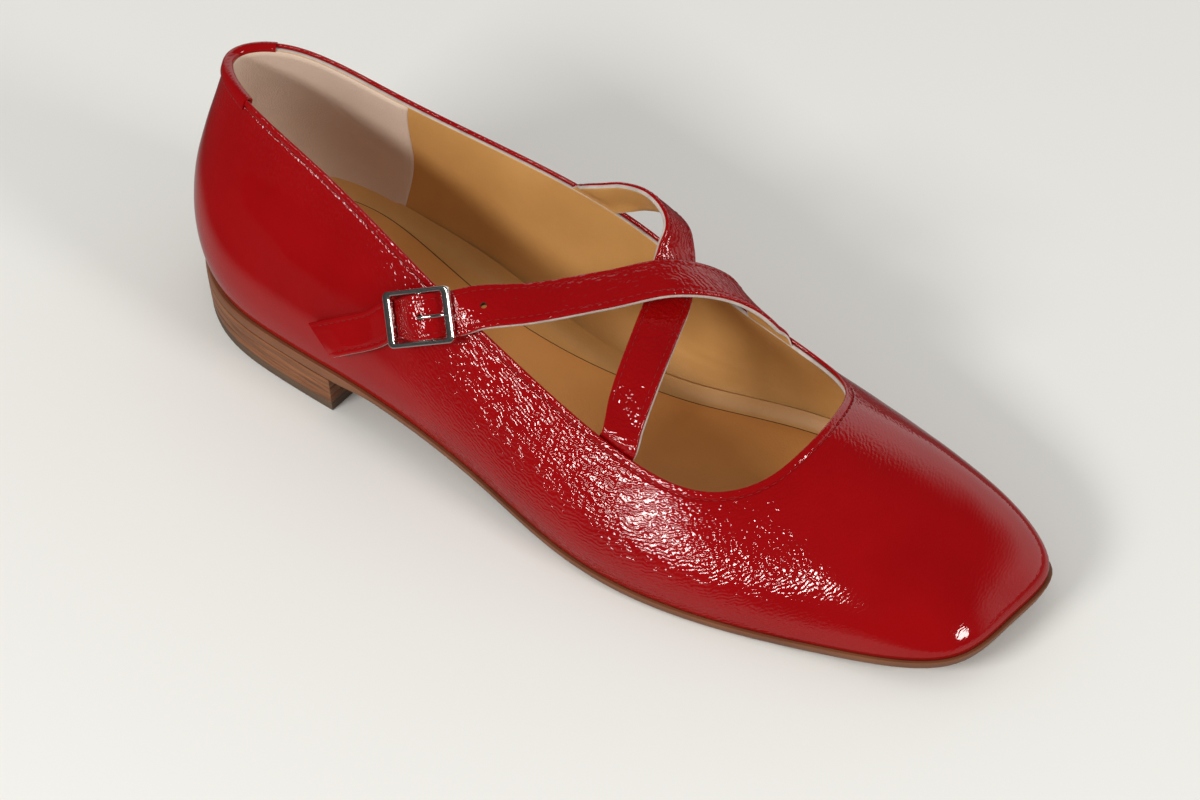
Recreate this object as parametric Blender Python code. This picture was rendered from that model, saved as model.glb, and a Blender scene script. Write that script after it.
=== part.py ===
"""Ballet flat, right shoe: square toe, open topline, two crossing instep straps and one buckle.

The shoe is built piece by piece, as a maker would put it together: the upper on its outsole, the
stacked heel and its top piece underneath, the insole inside, and the two straps with their buckle.
Sizes are in millimetres until make_object turns them into metres. X runs toward the toe, Y to the
inner (medial) side and Z up; the floor is Z = 0 and the origin is the middle of the heel's tread.
"""
import math

import bmesh
import bpy
import numpy as np
from mathutils import Matrix, Vector
from mathutils.bvhtree import BVHTree

# ---------------------------------------------------------------------------
# Driving sizes, in millimetres
# ---------------------------------------------------------------------------
MM = 0.001
LENGTH = 250.0            # feather line, back of the heel to the toe
BALL_WIDTH = 78.0         # feather line across the ball
REAR_HEIGHT = 72.5        # top of the back above the floor
HEEL_RISE = 11.2          # underside of the sole above the floor at the heel
TOE_SPRING = 5.7          # underside of the sole above the floor at the toe
ORIGIN_X = 30.0           # middle of the heel's tread, ahead of the back

UPPER_WALL = 1.8          # outer leather, stiffener and lining together
SOLE_THICK = 3.0
SOLE_MARGIN = 1.2         # the outsole stands this far outside the feather line
INSOLE_THICK = 1.8
GAP = 0.3                 # between faces that touch on the real shoe

SEAT_END = 61.5           # the flat heel seat ends and the arch begins
TREAD_START = 146.0       # the forepart's flat tread begins behind the ball
TREAD_END = 181.0         # and ends where the toe spring begins

HEEL_BREAST = 62.5        # front face of the heel
HEEL_TAPER = 1.0          # the heel narrows by this much on its way down
TOP_PIECE_THICK = 2.6

STRAP_WIDTH = 11.6
STRAP_THICK = 1.8
STRAP_PLAY = 0.4          # a flat strap keeps this much more room on the curved outer wall
ROOT_PLAY = 1.3           # and this much on the hollow lining
TAIL_SKEW = 7.0           # the strap's tail is cut on the slant by this much
TAIL_SKEW_RUN = 12.0      # length over which the slant cut runs out
TAIL_WIDTH = 9.9          # the tail is cut a little narrower, to thread the buckle
TAIL_NARROWED = 31.0      # the narrower part's length
NARROWING = 8.0           # length over which the strap narrows

BUCKLE_LENGTH = 20.0      # along the strap
BUCKLE_HEIGHT = 14.6      # across the strap
BUCKLE_REST = 5.0         # the buckle takes its tilt from the wall this far around its middle
SIDE_BAR = 2.2
RAIL = 1.3
FRAME_THICK = 1.8
FRAME_CORNER = 1.6
FRAME_EDGE = 0.4          # rounding of the frame's edges
BAR_RADIUS = 0.6          # the centre bar that the strap crosses
BAR_SUNK = 0.35           # the bar's axis lies this far under the frame's back face
PRONG_RADIUS = 0.45
PRONG_PLAY = 0.2          # between the centre bar and the prong's eye
PRONG_HOLE_RADIUS = 1.2
TAB_WIDTH = 8.0
TAB_THICK = 0.7
TAB_LENGTH = 4.2
TAB_PLAY = 0.25           # between the centre bar and the leather folded round it
TAB_SLOT = 1.8            # slot in the fold that lets the prong's eye through
WALL_SWELL = 0.8          # the outer wall rises this much beside the buckle's foot
HUMP_REACH = 8.0          # the strap humps over the centre bar within this distance of it
HUMP_BREADTH = 1.25       # over 1 widens that hump

# Heights above the outer wall that follow from those sizes
STRAP_LIFT = GAP + STRAP_THICK / 2                      # middle of a strap laid on the wall
FRAME_LOW = WALL_SWELL + STRAP_LIFT + STRAP_THICK / 2 + GAP
FRAME_HIGH = FRAME_LOW + FRAME_THICK
BAR_LIFT = FRAME_LOW - BAR_SUNK
HUMP_LIFT = BAR_LIFT + BAR_RADIUS + TAB_PLAY + TAB_THICK + STRAP_LIFT

AROUND = 104              # points round the upper
UP = 13                   # points from the feather line to the topline
ACROSS = 4                # strips across the soles
BAND_STEPS = 66           # sections along a strap
TUBE_SIDES = 12

# ---------------------------------------------------------------------------
# Sections of the last, from the back round the outer side to the toe and back on the inner side.
# foot_x and rim_x are parts of LENGTH, foot_y and rim_y parts of BALL_WIDTH, rim_z is a part of
# REAR_HEIGHT. flare and rise (mm) set how the wall leaves the feather line; lean (degrees from
# upright) and reach (mm) set how it arrives at the topline.
# ---------------------------------------------------------------------------
SECTION_COLUMNS = ("foot_x", "foot_y", "flare", "rise", "rim_x", "rim_y", "rim_z", "lean", "reach")
SECTIONS = {
    "back":             (0.000, 0.006, 7.5, 22.5, 0.024, 0.015, 0.995, 16, 23.0),
    "back outer":      (0.060, -0.278, 8.5, 19.5, 0.075, -0.145, 1.000, 15, 21.0),
    "heel outer":      (0.168, -0.385, 5.5, 17.5, 0.200, -0.209, 0.892, 20, 18.5),
    "waist outer":     (0.313, -0.414, 4.0, 15.0, 0.340, -0.279, 0.743, 25, 16.0),
    "arch outer":      (0.458, -0.446, 6.0, 12.0, 0.465, -0.319, 0.590, 30, 14.0),
    "joint outer":     (0.607, -0.526, 5.0, 12.0, 0.590, -0.365, 0.484, 33, 14.0),
    "ball outer":      (0.732, -0.499, 2.7, 11.0, 0.690, -0.346, 0.428, 42, 14.0),
    "toe side outer":  (0.874, -0.380, 1.5, 8.5, 0.747, -0.221, 0.462, 56, 17.5),
    "toe corner outer": (0.981, -0.227, 1.0, 8.0, 0.766, -0.103, 0.524, 69, 24.0),
    "toe":             (1.000, 0.027, 1.3, 9.7, 0.770, 0.026, 0.552, 73, 26.5),
    "toe corner inner": (0.993, 0.285, 2.0, 12.0, 0.761, 0.174, 0.528, 74, 25.0),
    "toe side inner":  (0.910, 0.394, 3.0, 13.5, 0.744, 0.286, 0.488, 64, 19.0),
    "ball inner":      (0.779, 0.469, 4.5, 14.0, 0.692, 0.365, 0.477, 39, 15.0),
    "joint inner":      (0.654, 0.437, 5.0, 13.0, 0.579, 0.374, 0.566, 16, 15.0),
    "arch inner":       (0.495, 0.295, 10.0, 15.0, 0.461, 0.382, 0.690, 0, 16.0),
    "waist inner":     (0.334, 0.303, 7.0, 16.0, 0.327, 0.337, 0.789, 2, 17.0),
    "heel inner":      (0.170, 0.355, 4.5, 18.0, 0.187, 0.236, 0.913, 10, 18.0),
    "back inner":       (0.048, 0.291, 6.5, 20.5, 0.071, 0.150, 1.000, 15, 20.5),
}
TOE_SECTION = list(SECTIONS).index("toe")
LEAN_BLEND = 20.0         # mm: how far the feather line's own direction steers the wall's lean

# Straps, as rows of x, y, z, face: where the band's middle runs, and the way its red face looks, in
# degrees from straight up toward the inner side. The ends inside the shoe are laid on the lining at
# the given x, z, and the buckled end is laid on the outer wall.
CROSS_STRAP = (
    (106.0, 24.2, 55.0, 84),      # leaves the topline, heading forward
    (113.3, 27.2, 58.6, 62),
    (123.5, 28.4, 60.6, 56),      # top of the loop
    (132.0, 24.6, 60.0, 50),
    (135.8, 18.8, 55.8, 40),
    (138.4, 13.6, 52.6, 30),
    (141.0, 8.5, 50.8, 22),       # under the buckle strap
    (144.5, -1.2, 49.4, 6),
    (148.2, -14.2, 44.8, -24),
    (150.3, -24.0, 36.5, -74),    # down inside the outer topline
)
CROSS_ROOT = ((91.5, 45.0), (99.2, 48.0))      # on the inner side's lining
CROSS_END = ((151.4, 28.5),)                   # on the outer side's lining
BUCKLE_STRAP = (
    (151.8, 21.7, 50.8, 8),
    (141.4, 10.3, 57.6, -10),     # over the cross strap
    (128.9, -1.4, 55.0, -14),
    (115.0, -13.8, 52.2, -20),
    (104.8, -22.2, 51.4, -36),    # over the outer topline
)
BUCKLE_ROOT = ((162.0, 28.5), (159.3, 35.4))   # on the inner side's lining
BUCKLE_PLACE = (91.4, 44.4)                    # the buckle's middle on the outer wall
BUCKLE_SLOPE = 30.5                            # degrees: the strap climbs toward the toe
BUCKLE_TILT = 4.0                             # degrees: its top leans in, over the topline
BUCKLE_RAISED = 0.2                            # mm that this tilt lifts it off the wall
WEAVE = (-10.2, -7.6, -5.0, -2.5, 0.0, 2.5, 5.0, 7.6, 10.2)    # through the frame, from its middle
TAIL = ((16.5, 2.2, 4), (27.0, 3.5, 13), (38.2, 5.1, 15))    # along the tail, down across it, and its tilt


# ---------------------------------------------------------------------------
# Curves
# ---------------------------------------------------------------------------
def spline(rows, knots, at, closed):
    """Smooth curve through rows, one per knot, read at the given places."""
    rows = np.asarray(rows, float)
    count = len(rows)
    if closed:
        following = np.roll(rows, -1, axis=0)
        step = np.diff(knots)
        before = np.roll(step, 1)
        slope_out = (following - rows) / step[:, None]
        slope_in = np.roll(slope_out, 1, axis=0)
        tangent = (slope_in * step[:, None] + slope_out * before[:, None]) / (step + before)[:, None]
        last_segment = count - 1
    else:
        step = np.diff(knots)
        slope = np.diff(rows, axis=0) / step[:, None]
        tangent = np.empty_like(rows)
        tangent[0] = slope[0]
        tangent[-1] = slope[-1]
        weighted = slope[:-1] * step[1:, None] + slope[1:] * step[:-1, None]
        tangent[1:-1] = weighted / (step[1:] + step[:-1])[:, None]
        last_segment = count - 2
    segment = np.clip(np.searchsorted(knots, at, side="right") - 1, 0, last_segment)
    after = (segment + 1) % count
    span = step[segment]
    w = ((at - knots[segment]) / span)[:, None]
    span = span[:, None]
    return ((2 * w**3 - 3 * w**2 + 1) * rows[segment] + (w**3 - 2 * w**2 + w) * span * tangent[segment]
            + (3 * w**2 - 2 * w**3) * rows[after] + (w**3 - w**2) * span * tangent[after])


def unit(vectors):
    """Vectors of length one."""
    vectors = np.asarray(vectors, float)
    return vectors / np.linalg.norm(vectors, axis=-1, keepdims=True)


def outward(loop):
    """Horizontal direction pointing out of a loop that runs back, outer side, toe, inner side."""
    along = unit(np.roll(loop[:, :2], -1, axis=0) - np.roll(loop[:, :2], 1, axis=0))
    return np.column_stack([along[:, 1], -along[:, 0]])


# ---------------------------------------------------------------------------
# The last: sole line, feather line and the wall of the upper
# ---------------------------------------------------------------------------
def sole_underside(x):
    """Height of the outsole's underside: heel seat, arch, flat tread and toe spring."""
    x = np.asarray(x, float)
    arch = np.clip((x - SEAT_END) / (TREAD_START - SEAT_END), 0, 1)
    spring = np.clip((x - TREAD_END) / (LENGTH - TREAD_END), 0, None)
    return HEEL_RISE * (0.5 + 0.5 * np.cos(np.pi * arch)) + TOE_SPRING * spring**2


def sole_topside(x):
    return sole_underside(x) + SOLE_THICK


def sections_around():
    """The table of sections in millimetres, filled in smoothly to AROUND places."""
    scale = np.array([LENGTH, BALL_WIDTH, 1, 1, LENGTH, BALL_WIDTH, REAR_HEIGHT, 1, 1])
    table = np.array(list(SECTIONS.values()), float) * scale
    foot_step = np.linalg.norm(np.roll(table[:, 0:2], -1, axis=0) - table[:, 0:2], axis=1)
    rim_step = np.linalg.norm(np.roll(table[:, 4:6], -1, axis=0) - table[:, 4:6], axis=1)
    knots = np.concatenate([[0.0], np.cumsum(np.sqrt((foot_step + rim_step) / 2))])
    half = AROUND // 2
    outer_side = np.linspace(0, knots[TOE_SECTION], half, endpoint=False)
    inner_side = np.linspace(knots[TOE_SECTION], knots[-1], half, endpoint=False)
    places = np.concatenate([outer_side, inner_side])
    values = spline(table, knots, places, closed=True)
    return dict(zip(SECTION_COLUMNS, values.T))


def upper_outside():
    """Outer face of the upper as a grid: AROUND spokes of UP points, feather line to topline."""
    part = sections_around()
    foot = np.column_stack([part["foot_x"], part["foot_y"], sole_topside(part["foot_x"]) + GAP])
    rim = np.column_stack([part["rim_x"], part["rim_y"], part["rim_z"]])
    out = outward(foot)
    away = unit(foot[:, :2] - rim[:, :2] + out * LEAN_BLEND)
    lean = np.radians(part["lean"])
    low = foot + np.column_stack([out * part["flare"][:, None], part["rise"]])
    inward_shift = away * (np.sin(lean) * part["reach"])[:, None]
    high = rim + np.column_stack([inward_shift, -np.cos(lean) * part["reach"]])
    v = np.linspace(0, 1, UP)[None, :, None]
    return ((1 - v)**3 * foot[:, None] + 3 * v * (1 - v)**2 * low[:, None]
            + 3 * v**2 * (1 - v) * high[:, None] + v**3 * rim[:, None])


def grid_normals(grid):
    """Outward normals of a grid that is closed around and open from foot to rim."""
    around = np.roll(grid, -1, axis=0) - np.roll(grid, 1, axis=0)
    upward = np.gradient(grid, axis=1)
    return unit(np.cross(around, upward))


def upper_inside(outside):
    """Lining face: the outer face moved in by the wall, and flat on the outsole at its foot."""
    inside = outside - grid_normals(outside) * UPPER_WALL
    foot = outside[:, 0, :2] - outward(outside[:, 0]) * UPPER_WALL
    inside[:, 0, :2] = foot
    inside[:, 0, 2] = sole_topside(foot[:, 0]) + GAP
    return inside


def grid_faces(rows, columns, offset=0):
    """Quads of a grid that is closed around, as vertex numbers."""
    faces = []
    for i in range(rows):
        j = (i + 1) % rows
        for k in range(columns - 1):
            faces.append((offset + i * columns + k, offset + j * columns + k,
                          offset + j * columns + k + 1, offset + i * columns + k + 1))
    return faces


def surface_tree(grid):
    """A search tree over a grid's faces, for laying other pieces on it."""
    points = [Vector(p) for p in grid.reshape(-1, 3)]
    return BVHTree.FromPolygons(points, grid_faces(grid.shape[0], grid.shape[1]))


def lay_on(tree, x, z, side, lift):
    """Point lifted off a wall at (x, z), and the wall's normal; side is -1 outer, +1 inner."""
    beyond = 200.0
    if lift > 0:
        start = Vector((x, side * beyond, z))
        ray = Vector((0, -side, 0))
    else:
        start = Vector((x, 0, z))
        ray = Vector((0, side, 0))
    hit, normal = tree.ray_cast(start, ray)[:2]
    if normal.y * side < 0:
        normal = -normal
    return np.array(hit + normal * lift), np.array(normal)


# ---------------------------------------------------------------------------
# Making objects
# ---------------------------------------------------------------------------
def clear_scene():
    for thing in list(bpy.data.objects):
        bpy.data.objects.remove(thing, do_unlink=True)


def material(name, colour, roughness, metallic=0.0, coat=0.0):
    made = bpy.data.materials.new(name)
    made.use_nodes = True
    shader = made.node_tree.nodes["Principled BSDF"]
    shader.inputs["Base Color"].default_value = (*colour, 1.0)
    shader.inputs["Roughness"].default_value = roughness
    shader.inputs["Metallic"].default_value = metallic
    shader.inputs["Coat Weight"].default_value = coat
    made.diffuse_color = (*colour, 1.0)
    return made


def make_object(name, points, faces, finish, parent, smooth_below=35.0):
    """A closed mesh in metres, facing outward, with its material and its parent."""
    mesh = bpy.data.meshes.new(name)
    mesh.from_pydata([tuple(np.asarray(p, float) * MM) for p in points], [], faces)
    body = bmesh.new()
    body.from_mesh(mesh)
    bmesh.ops.recalc_face_normals(body, faces=body.faces)
    body.to_mesh(mesh)
    body.free()
    made = bpy.data.objects.new(name, mesh)
    bpy.context.collection.objects.link(made)
    mesh.materials.append(finish)
    mesh.shade_smooth()
    mesh.set_sharp_from_angle(angle=math.radians(smooth_below))
    made.parent = parent
    return made


def make_upper(outside, inside, finish, parent):
    """The upper: outer face, lining face, and the rims that join them at topline and feather."""
    rows, columns = outside.shape[:2]
    inner = rows * columns
    faces = grid_faces(rows, columns) + grid_faces(rows, columns, inner)
    for i in range(rows):
        j = (i + 1) % rows
        for k in (0, columns - 1):
            faces.append((i * columns + k, j * columns + k, inner + j * columns + k, inner + i * columns + k))
    points = np.concatenate([outside.reshape(-1, 3), inside.reshape(-1, 3)])
    return make_object("upper", points, faces, finish, parent)


def make_slab(name, low_edges, high_edges, low_z, high_z, finish, parent):
    """A sole-like solid between two outlines, each given as an outer and an inner edge.

    The edges run from back to front in step. Where they meet in a point, the slab ends in that
    point; where they don't, it ends in a straight face.
    """
    points = []
    columns = []
    for edges, height in ((low_edges, low_z), (high_edges, high_z)):
        layer = []
        for outer, inner in zip(*edges):
            if np.linalg.norm(outer - inner) < GAP:
                column = [outer]
            else:
                column = [outer + (inner - outer) * k / ACROSS for k in range(ACROSS + 1)]
            layer.append(list(range(len(points), len(points) + len(column))))
            points += [(p[0], p[1], float(height(p[0]))) for p in column]
        columns.append(layer)
    faces = []
    for layer in columns:
        for back, front in zip(layer[:-1], layer[1:]):
            for k in range(ACROSS):
                ring = [back[min(k, len(back) - 1)], back[min(k + 1, len(back) - 1)],
                        front[min(k + 1, len(front) - 1)], front[min(k, len(front) - 1)]]
                corners = list(dict.fromkeys(ring))
                if len(corners) > 2:
                    faces.append(corners)
    low, high = columns
    for i in range(len(low) - 1):
        for end in (0, -1):
            faces.append((low[i][end], low[i + 1][end], high[i + 1][end], high[i][end]))
    for i in (0, len(low) - 1):
        for k in range(len(low[i]) - 1):
            faces.append((low[i][k], low[i][k + 1], high[i][k + 1], high[i][k]))
    return make_object(name, points, faces, finish, parent)


def edge_pair(loop):
    """The outer and inner edge of a closed outline, both from the back to the toe."""
    half = len(loop) // 2
    outer = loop[:half + 1]
    inner = np.concatenate([loop[:1], loop[:half - 1:-1]])
    return outer, inner


def cut_at(edges, x_end):
    """Edges kept behind x_end, with a last point exactly on it."""
    kept = []
    steps = sum(edges[0][:, 0] < x_end)
    for edge in edges:
        inside = edge[edge[:, 0] < x_end]
        beyond = edge[len(inside)]
        share = (x_end - inside[-1][0]) / (beyond[0] - inside[-1][0])
        whole = np.concatenate([inside, [inside[-1] + (beyond - inside[-1]) * share]])
        distance = np.concatenate([[0], np.cumsum(np.linalg.norm(np.diff(whole, axis=0), axis=1))])
        places = np.linspace(0, distance[-1], steps + 1)
        kept.append(np.column_stack([np.interp(places, distance, whole[:, a]) for a in (0, 1)]))
    return kept


# ---------------------------------------------------------------------------
# Straps
# ---------------------------------------------------------------------------
def facing(degrees):
    """Direction in the cross plane, in degrees from straight up toward the inner side."""
    return np.array([0.0, math.sin(math.radians(degrees)), math.cos(math.radians(degrees))])


def free_rows(table):
    """Strap rows that run through the air: middle point and facing direction."""
    return [np.concatenate([row[:3], facing(row[3])]) for row in table]


def lining_rows(lining, places, side):
    """Strap rows tucked inside the shoe, against the lining."""
    rows = []
    for x, z in places:
        rows.append(np.concatenate(lay_on(lining, x, z, side, -STRAP_LIFT - ROOT_PLAY)))
    return rows


def weave_lift(u):
    """The strap's middle above the wall, u mm from the centre bar that it humps over."""
    share = min(abs(u) / HUMP_REACH, 1.0) ** HUMP_BREADTH
    low = STRAP_LIFT + WALL_SWELL
    return low + (HUMP_LIFT - low) * (0.5 + 0.5 * math.cos(math.pi * share))


def buckled_rows(outer_wall, place):
    """Strap rows flat through the buckle's frame, then along the tail on the outer wall."""
    def on_the_wall(u, down, tilt):
        """A row of the tail, whose lower edge stands off the wall by the tilt."""
        aim = place @ Vector((u, down, 0))
        tilt = math.radians(tilt)
        lift = STRAP_LIFT + STRAP_PLAY + TAIL_WIDTH / 2 * math.sin(tilt)
        point, normal = lay_on(outer_wall, aim.x, aim.z, -1, lift)
        downward = np.array(place.to_3x3() @ Vector((0, 1, 0)))
        return np.concatenate([point, normal * math.cos(tilt) - downward * math.sin(tilt)])

    square = place.to_3x3() @ Vector((0, 0, 1))
    woven = [np.array([*(place @ Vector((u, 0, weave_lift(u)))), *square]) for u in WEAVE]
    return woven + [on_the_wall(*row) for row in TAIL]


def make_band(name, rows, finish, parent, tail_skew=0.0):
    """A strap of flat section along its rows; tail_skew slants its far end and makes a tail."""
    rows = np.array(rows)
    steps = np.linalg.norm(np.diff(rows[:, :3], axis=0), axis=1)
    knots = np.concatenate([[0.0], np.cumsum(np.sqrt(steps))])
    values = spline(rows, knots, np.linspace(0, knots[-1], BAND_STEPS), closed=False)
    middle = values[:, :3]
    along = unit(np.gradient(middle, axis=0))
    across = unit(np.cross(values[:, 3:], along))
    face = np.cross(along, across)
    run = np.concatenate([[0.0], np.cumsum(np.linalg.norm(np.diff(middle, axis=0), axis=1))])
    slant = tail_skew * np.clip(1 - (run[-1] - run) / TAIL_SKEW_RUN, 0, 1)
    half = np.full(BAND_STEPS, STRAP_WIDTH / 2)
    if tail_skew:
        narrowed = np.clip(1 - (run[-1] - run - TAIL_NARROWED) / NARROWING, 0, 1)
        half -= (STRAP_WIDTH - TAIL_WIDTH) / 2 * narrowed
    points = []
    for i in range(BAND_STEPS):
        for side, depth in ((-1, -1), (1, -1), (1, 1), (-1, 1)):
            corner = middle[i] + across[i] * side * half[i] + face[i] * depth * STRAP_THICK / 2
            points.append(corner - along[i] * slant[i] * (side + 1) / 2)
    return make_object(name, points, sweep_faces(BAND_STEPS, 4), finish, parent, smooth_below=50.0)


def sweep_faces(sections, corners):
    """Faces of a closed bar: its sides and its two ends."""
    faces = [tuple(range(corners))]
    for i in range(sections - 1):
        for k in range(corners):
            n = (k + 1) % corners
            base = i * corners
            faces.append((base + k, base + n, base + corners + n, base + corners + k))
    base = (sections - 1) * corners
    faces.append(tuple(base + k for k in range(corners)))
    return faces


# ---------------------------------------------------------------------------
# Buckle: its own frame has X along the strap toward the tail, Y across it and Z off the wall
# ---------------------------------------------------------------------------
def buckle_place(outer_wall):
    """Matrix of the buckle's foot, in millimetres: it lies on the wall as a plate would."""
    x, z = BUCKLE_PLACE
    foot, normal = lay_on(outer_wall, x, z, -1, GAP / 100)
    slope = math.radians(BUCKLE_SLOPE)
    along = np.array([-math.cos(slope), 0.0, -math.sin(slope)])
    touched = []
    for u in (-BUCKLE_REST, 0.0, BUCKLE_REST):
        for w in (-BUCKLE_REST, 0.0, BUCKLE_REST):
            spot = np.array([x, 0.0, z]) + along * u + np.array([-along[2], 0.0, along[0]]) * w
            touched.append(lay_on(outer_wall, spot[0], spot[2], -1, GAP / 100)[1])
    normal = unit(np.mean(touched, axis=0))
    along = unit(along - normal * along.dot(normal))
    tilt = math.radians(BUCKLE_TILT)
    normal = normal * math.cos(tilt) - np.cross(normal, along) * math.sin(tilt)
    across = np.cross(normal, along)
    place = Matrix((along, across, normal)).transposed().to_4x4()
    place.translation = Vector(foot + normal * BUCKLE_RAISED)
    return place


def make_sweep(name, path, section, finish, parent):
    """A bar along a path of (x, z) points; its section is a list of (across, upward) offsets."""
    middle = np.array([(x, 0.0, z) for x, z in path])
    along = unit(np.gradient(middle, axis=0))
    across = np.array([0.0, 1.0, 0.0])
    points = []
    for place, forward in zip(middle, along):
        upward = np.cross(forward, across)
        points += [place + across * a + upward * b for a, b in section]
    return make_object(name, points, sweep_faces(len(path), len(section)), finish, parent, smooth_below=50.0)


def circle(radius, sides=TUBE_SIDES):
    angles = [2 * math.pi * k / sides for k in range(sides)]
    return [(radius * math.cos(a), radius * math.sin(a)) for a in angles]


def rectangle(width, height):
    return [(-width / 2, -height / 2), (width / 2, -height / 2), (width / 2, height / 2), (-width / 2, height / 2)]


def rounded_rectangle(length, height, corner, steps=4):
    """Outline of a rectangle with round corners, as (x, y) points."""
    outline = []
    for quarter, (sx, sy) in enumerate(((1, 1), (-1, 1), (-1, -1), (1, -1))):
        x = sx * (length / 2 - corner)
        y = sy * (height / 2 - corner)
        for k in range(steps + 1):
            angle = math.radians(90 * (quarter + k / steps))
            outline.append((x + corner * math.cos(angle), y + corner * math.sin(angle)))
    return outline


def make_prism(name, outlines, low, high, finish, parent):
    """A flat plate between two heights: one outline, or an outer and an inner one for a window."""
    count = len(outlines[0])
    points = [(x, y, z) for outline in outlines for z in (low, high) for x, y in outline]
    faces = []
    for start in range(0, len(points), 2 * count):
        for i in range(count):
            j = (i + 1) % count
            faces.append((start + i, start + j, start + count + j, start + count + i))
    if len(outlines) == 1:
        faces += [tuple(range(count)), tuple(range(count, 2 * count))]
    else:
        for level in (0, count):
            for i in range(count):
                j = (i + 1) % count
                faces.append((level + i, level + j, level + 2 * count + j, level + 2 * count + i))
    return make_object(name, points, faces, finish, parent)


def boolean(target, tool, operation):
    """Joins the tool to the target or cuts it out; the tool itself is not a piece of the shoe."""
    modifier = target.modifiers.new(operation.title(), "BOOLEAN")
    modifier.operation = operation
    modifier.solver = "EXACT"
    modifier.object = tool
    tool.hide_render = True
    tool.display_type = "WIRE"


def make_buckle_frame(steel, parent):
    """Rectangular frame with rounded edges, and the centre bar joined under its two rails."""
    outer = rounded_rectangle(BUCKLE_LENGTH, BUCKLE_HEIGHT, FRAME_CORNER)
    window = rounded_rectangle(BUCKLE_LENGTH - 2 * SIDE_BAR, BUCKLE_HEIGHT - 2 * RAIL, FRAME_CORNER / 2)
    frame = make_prism("buckle_frame", (outer, window), FRAME_LOW, FRAME_HIGH, steel, parent)
    bevel = frame.modifiers.new("Rounded edges", "BEVEL")
    bevel.width = FRAME_EDGE * MM
    bevel.segments = 2
    bevel.limit_method = "ANGLE"
    bar_end = (BUCKLE_HEIGHT - RAIL) / 2
    bar_section = [(x, z + BAR_LIFT) for x, z in circle(BAR_RADIUS)]
    points = [(x, y, z) for y in (-bar_end, bar_end) for x, z in bar_section]
    bar = make_object("centre_bar_tool", points, sweep_faces(2, TUBE_SIDES), steel, parent)
    boolean(frame, bar, "UNION")


def make_prong(steel, parent):
    """The prong: an eye round the centre bar, a stem through the strap, and a tip on the side bar."""
    eye = BAR_RADIUS + PRONG_PLAY + PRONG_RADIUS
    path = []
    for degrees in range(40, 281, 20):
        angle = math.radians(degrees)
        path.append((eye * math.sin(angle), BAR_LIFT + eye * math.cos(angle)))
    strap_top = HUMP_LIFT + STRAP_THICK / 2
    rest = FRAME_HIGH + GAP + PRONG_RADIUS
    side_bar = (BUCKLE_LENGTH - SIDE_BAR) / 2
    path += [(-eye, HUMP_LIFT - STRAP_THICK), (-eye - 0.05, HUMP_LIFT), (-eye - 0.2, strap_top + 0.4),
             (-eye - 0.8, strap_top + 0.9), (-side_bar * 0.55, strap_top + 0.6),
             (-side_bar + 0.6, rest + 0.2), (-side_bar - 0.5, rest)]
    make_sweep("buckle_prong", path, circle(PRONG_RADIUS), steel, parent)


def make_tab(leather, parent):
    """The tab that holds the buckle: thin leather folded round the centre bar, slotted for the prong."""
    fold = BAR_RADIUS + TAB_PLAY + TAB_THICK / 2
    under = BAR_LIFT - fold
    path = [(TAB_LENGTH, under)]
    for degrees in range(180, 361, 20):
        angle = math.radians(degrees)
        path.append((fold * math.sin(angle), BAR_LIFT + fold * math.cos(angle)))
    laid_on_itself = under + TAB_THICK + GAP / 2
    path += [(TAB_LENGTH * 0.35, BAR_LIFT + fold * 0.7), (TAB_LENGTH * 0.7, laid_on_itself + GAP),
             (TAB_LENGTH, laid_on_itself)]
    tab = make_sweep("buckle_tab", path, rectangle(TAB_WIDTH, TAB_THICK), leather, parent)
    eye_reach = BAR_RADIUS + PRONG_PLAY + 2 * PRONG_RADIUS + GAP
    slot_outline = rectangle(2 * eye_reach, TAB_SLOT)
    slot = make_prism("prong_slot_tool", (slot_outline,), -eye_reach, BAR_LIFT + 2 * eye_reach, leather, parent)
    boolean(tab, slot, "DIFFERENCE")


# ---------------------------------------------------------------------------
# The shoe
# ---------------------------------------------------------------------------
def make_soles(feather, finishes, shoe):
    """Outsole, insole, stacked heel and its top piece, all from the feather line."""
    out = outward(feather)
    sole_edges = edge_pair(feather + out * SOLE_MARGIN)
    make_slab("outsole", sole_edges, sole_edges, sole_underside, sole_topside, finishes["sole"], shoe)

    def insole_low(x):
        return sole_topside(x) + GAP

    def insole_high(x):
        return insole_low(x) + INSOLE_THICK

    insole_edges = edge_pair(feather - out * (UPPER_WALL + GAP))
    make_slab("insole", insole_edges, insole_edges, insole_low, insole_high, finishes["lining"], shoe)

    heel_parts = (("heel_top_piece", 0.0, TOP_PIECE_THICK, "top piece"),
                  ("heel_block", TOP_PIECE_THICK + GAP, HEEL_RISE - GAP, "stack"))
    for name, low, high, finish in heel_parts:
        edges = []
        for height in (low, high):
            narrowing = HEEL_TAPER * (1 - height / HEEL_RISE)
            edges.append(cut_at(edge_pair(feather + out * (SOLE_MARGIN - narrowing)), HEEL_BREAST))
        make_slab(name, edges[0], edges[1], lambda x, z=low: z, lambda x, z=high: z, finishes[finish], shoe)


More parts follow.
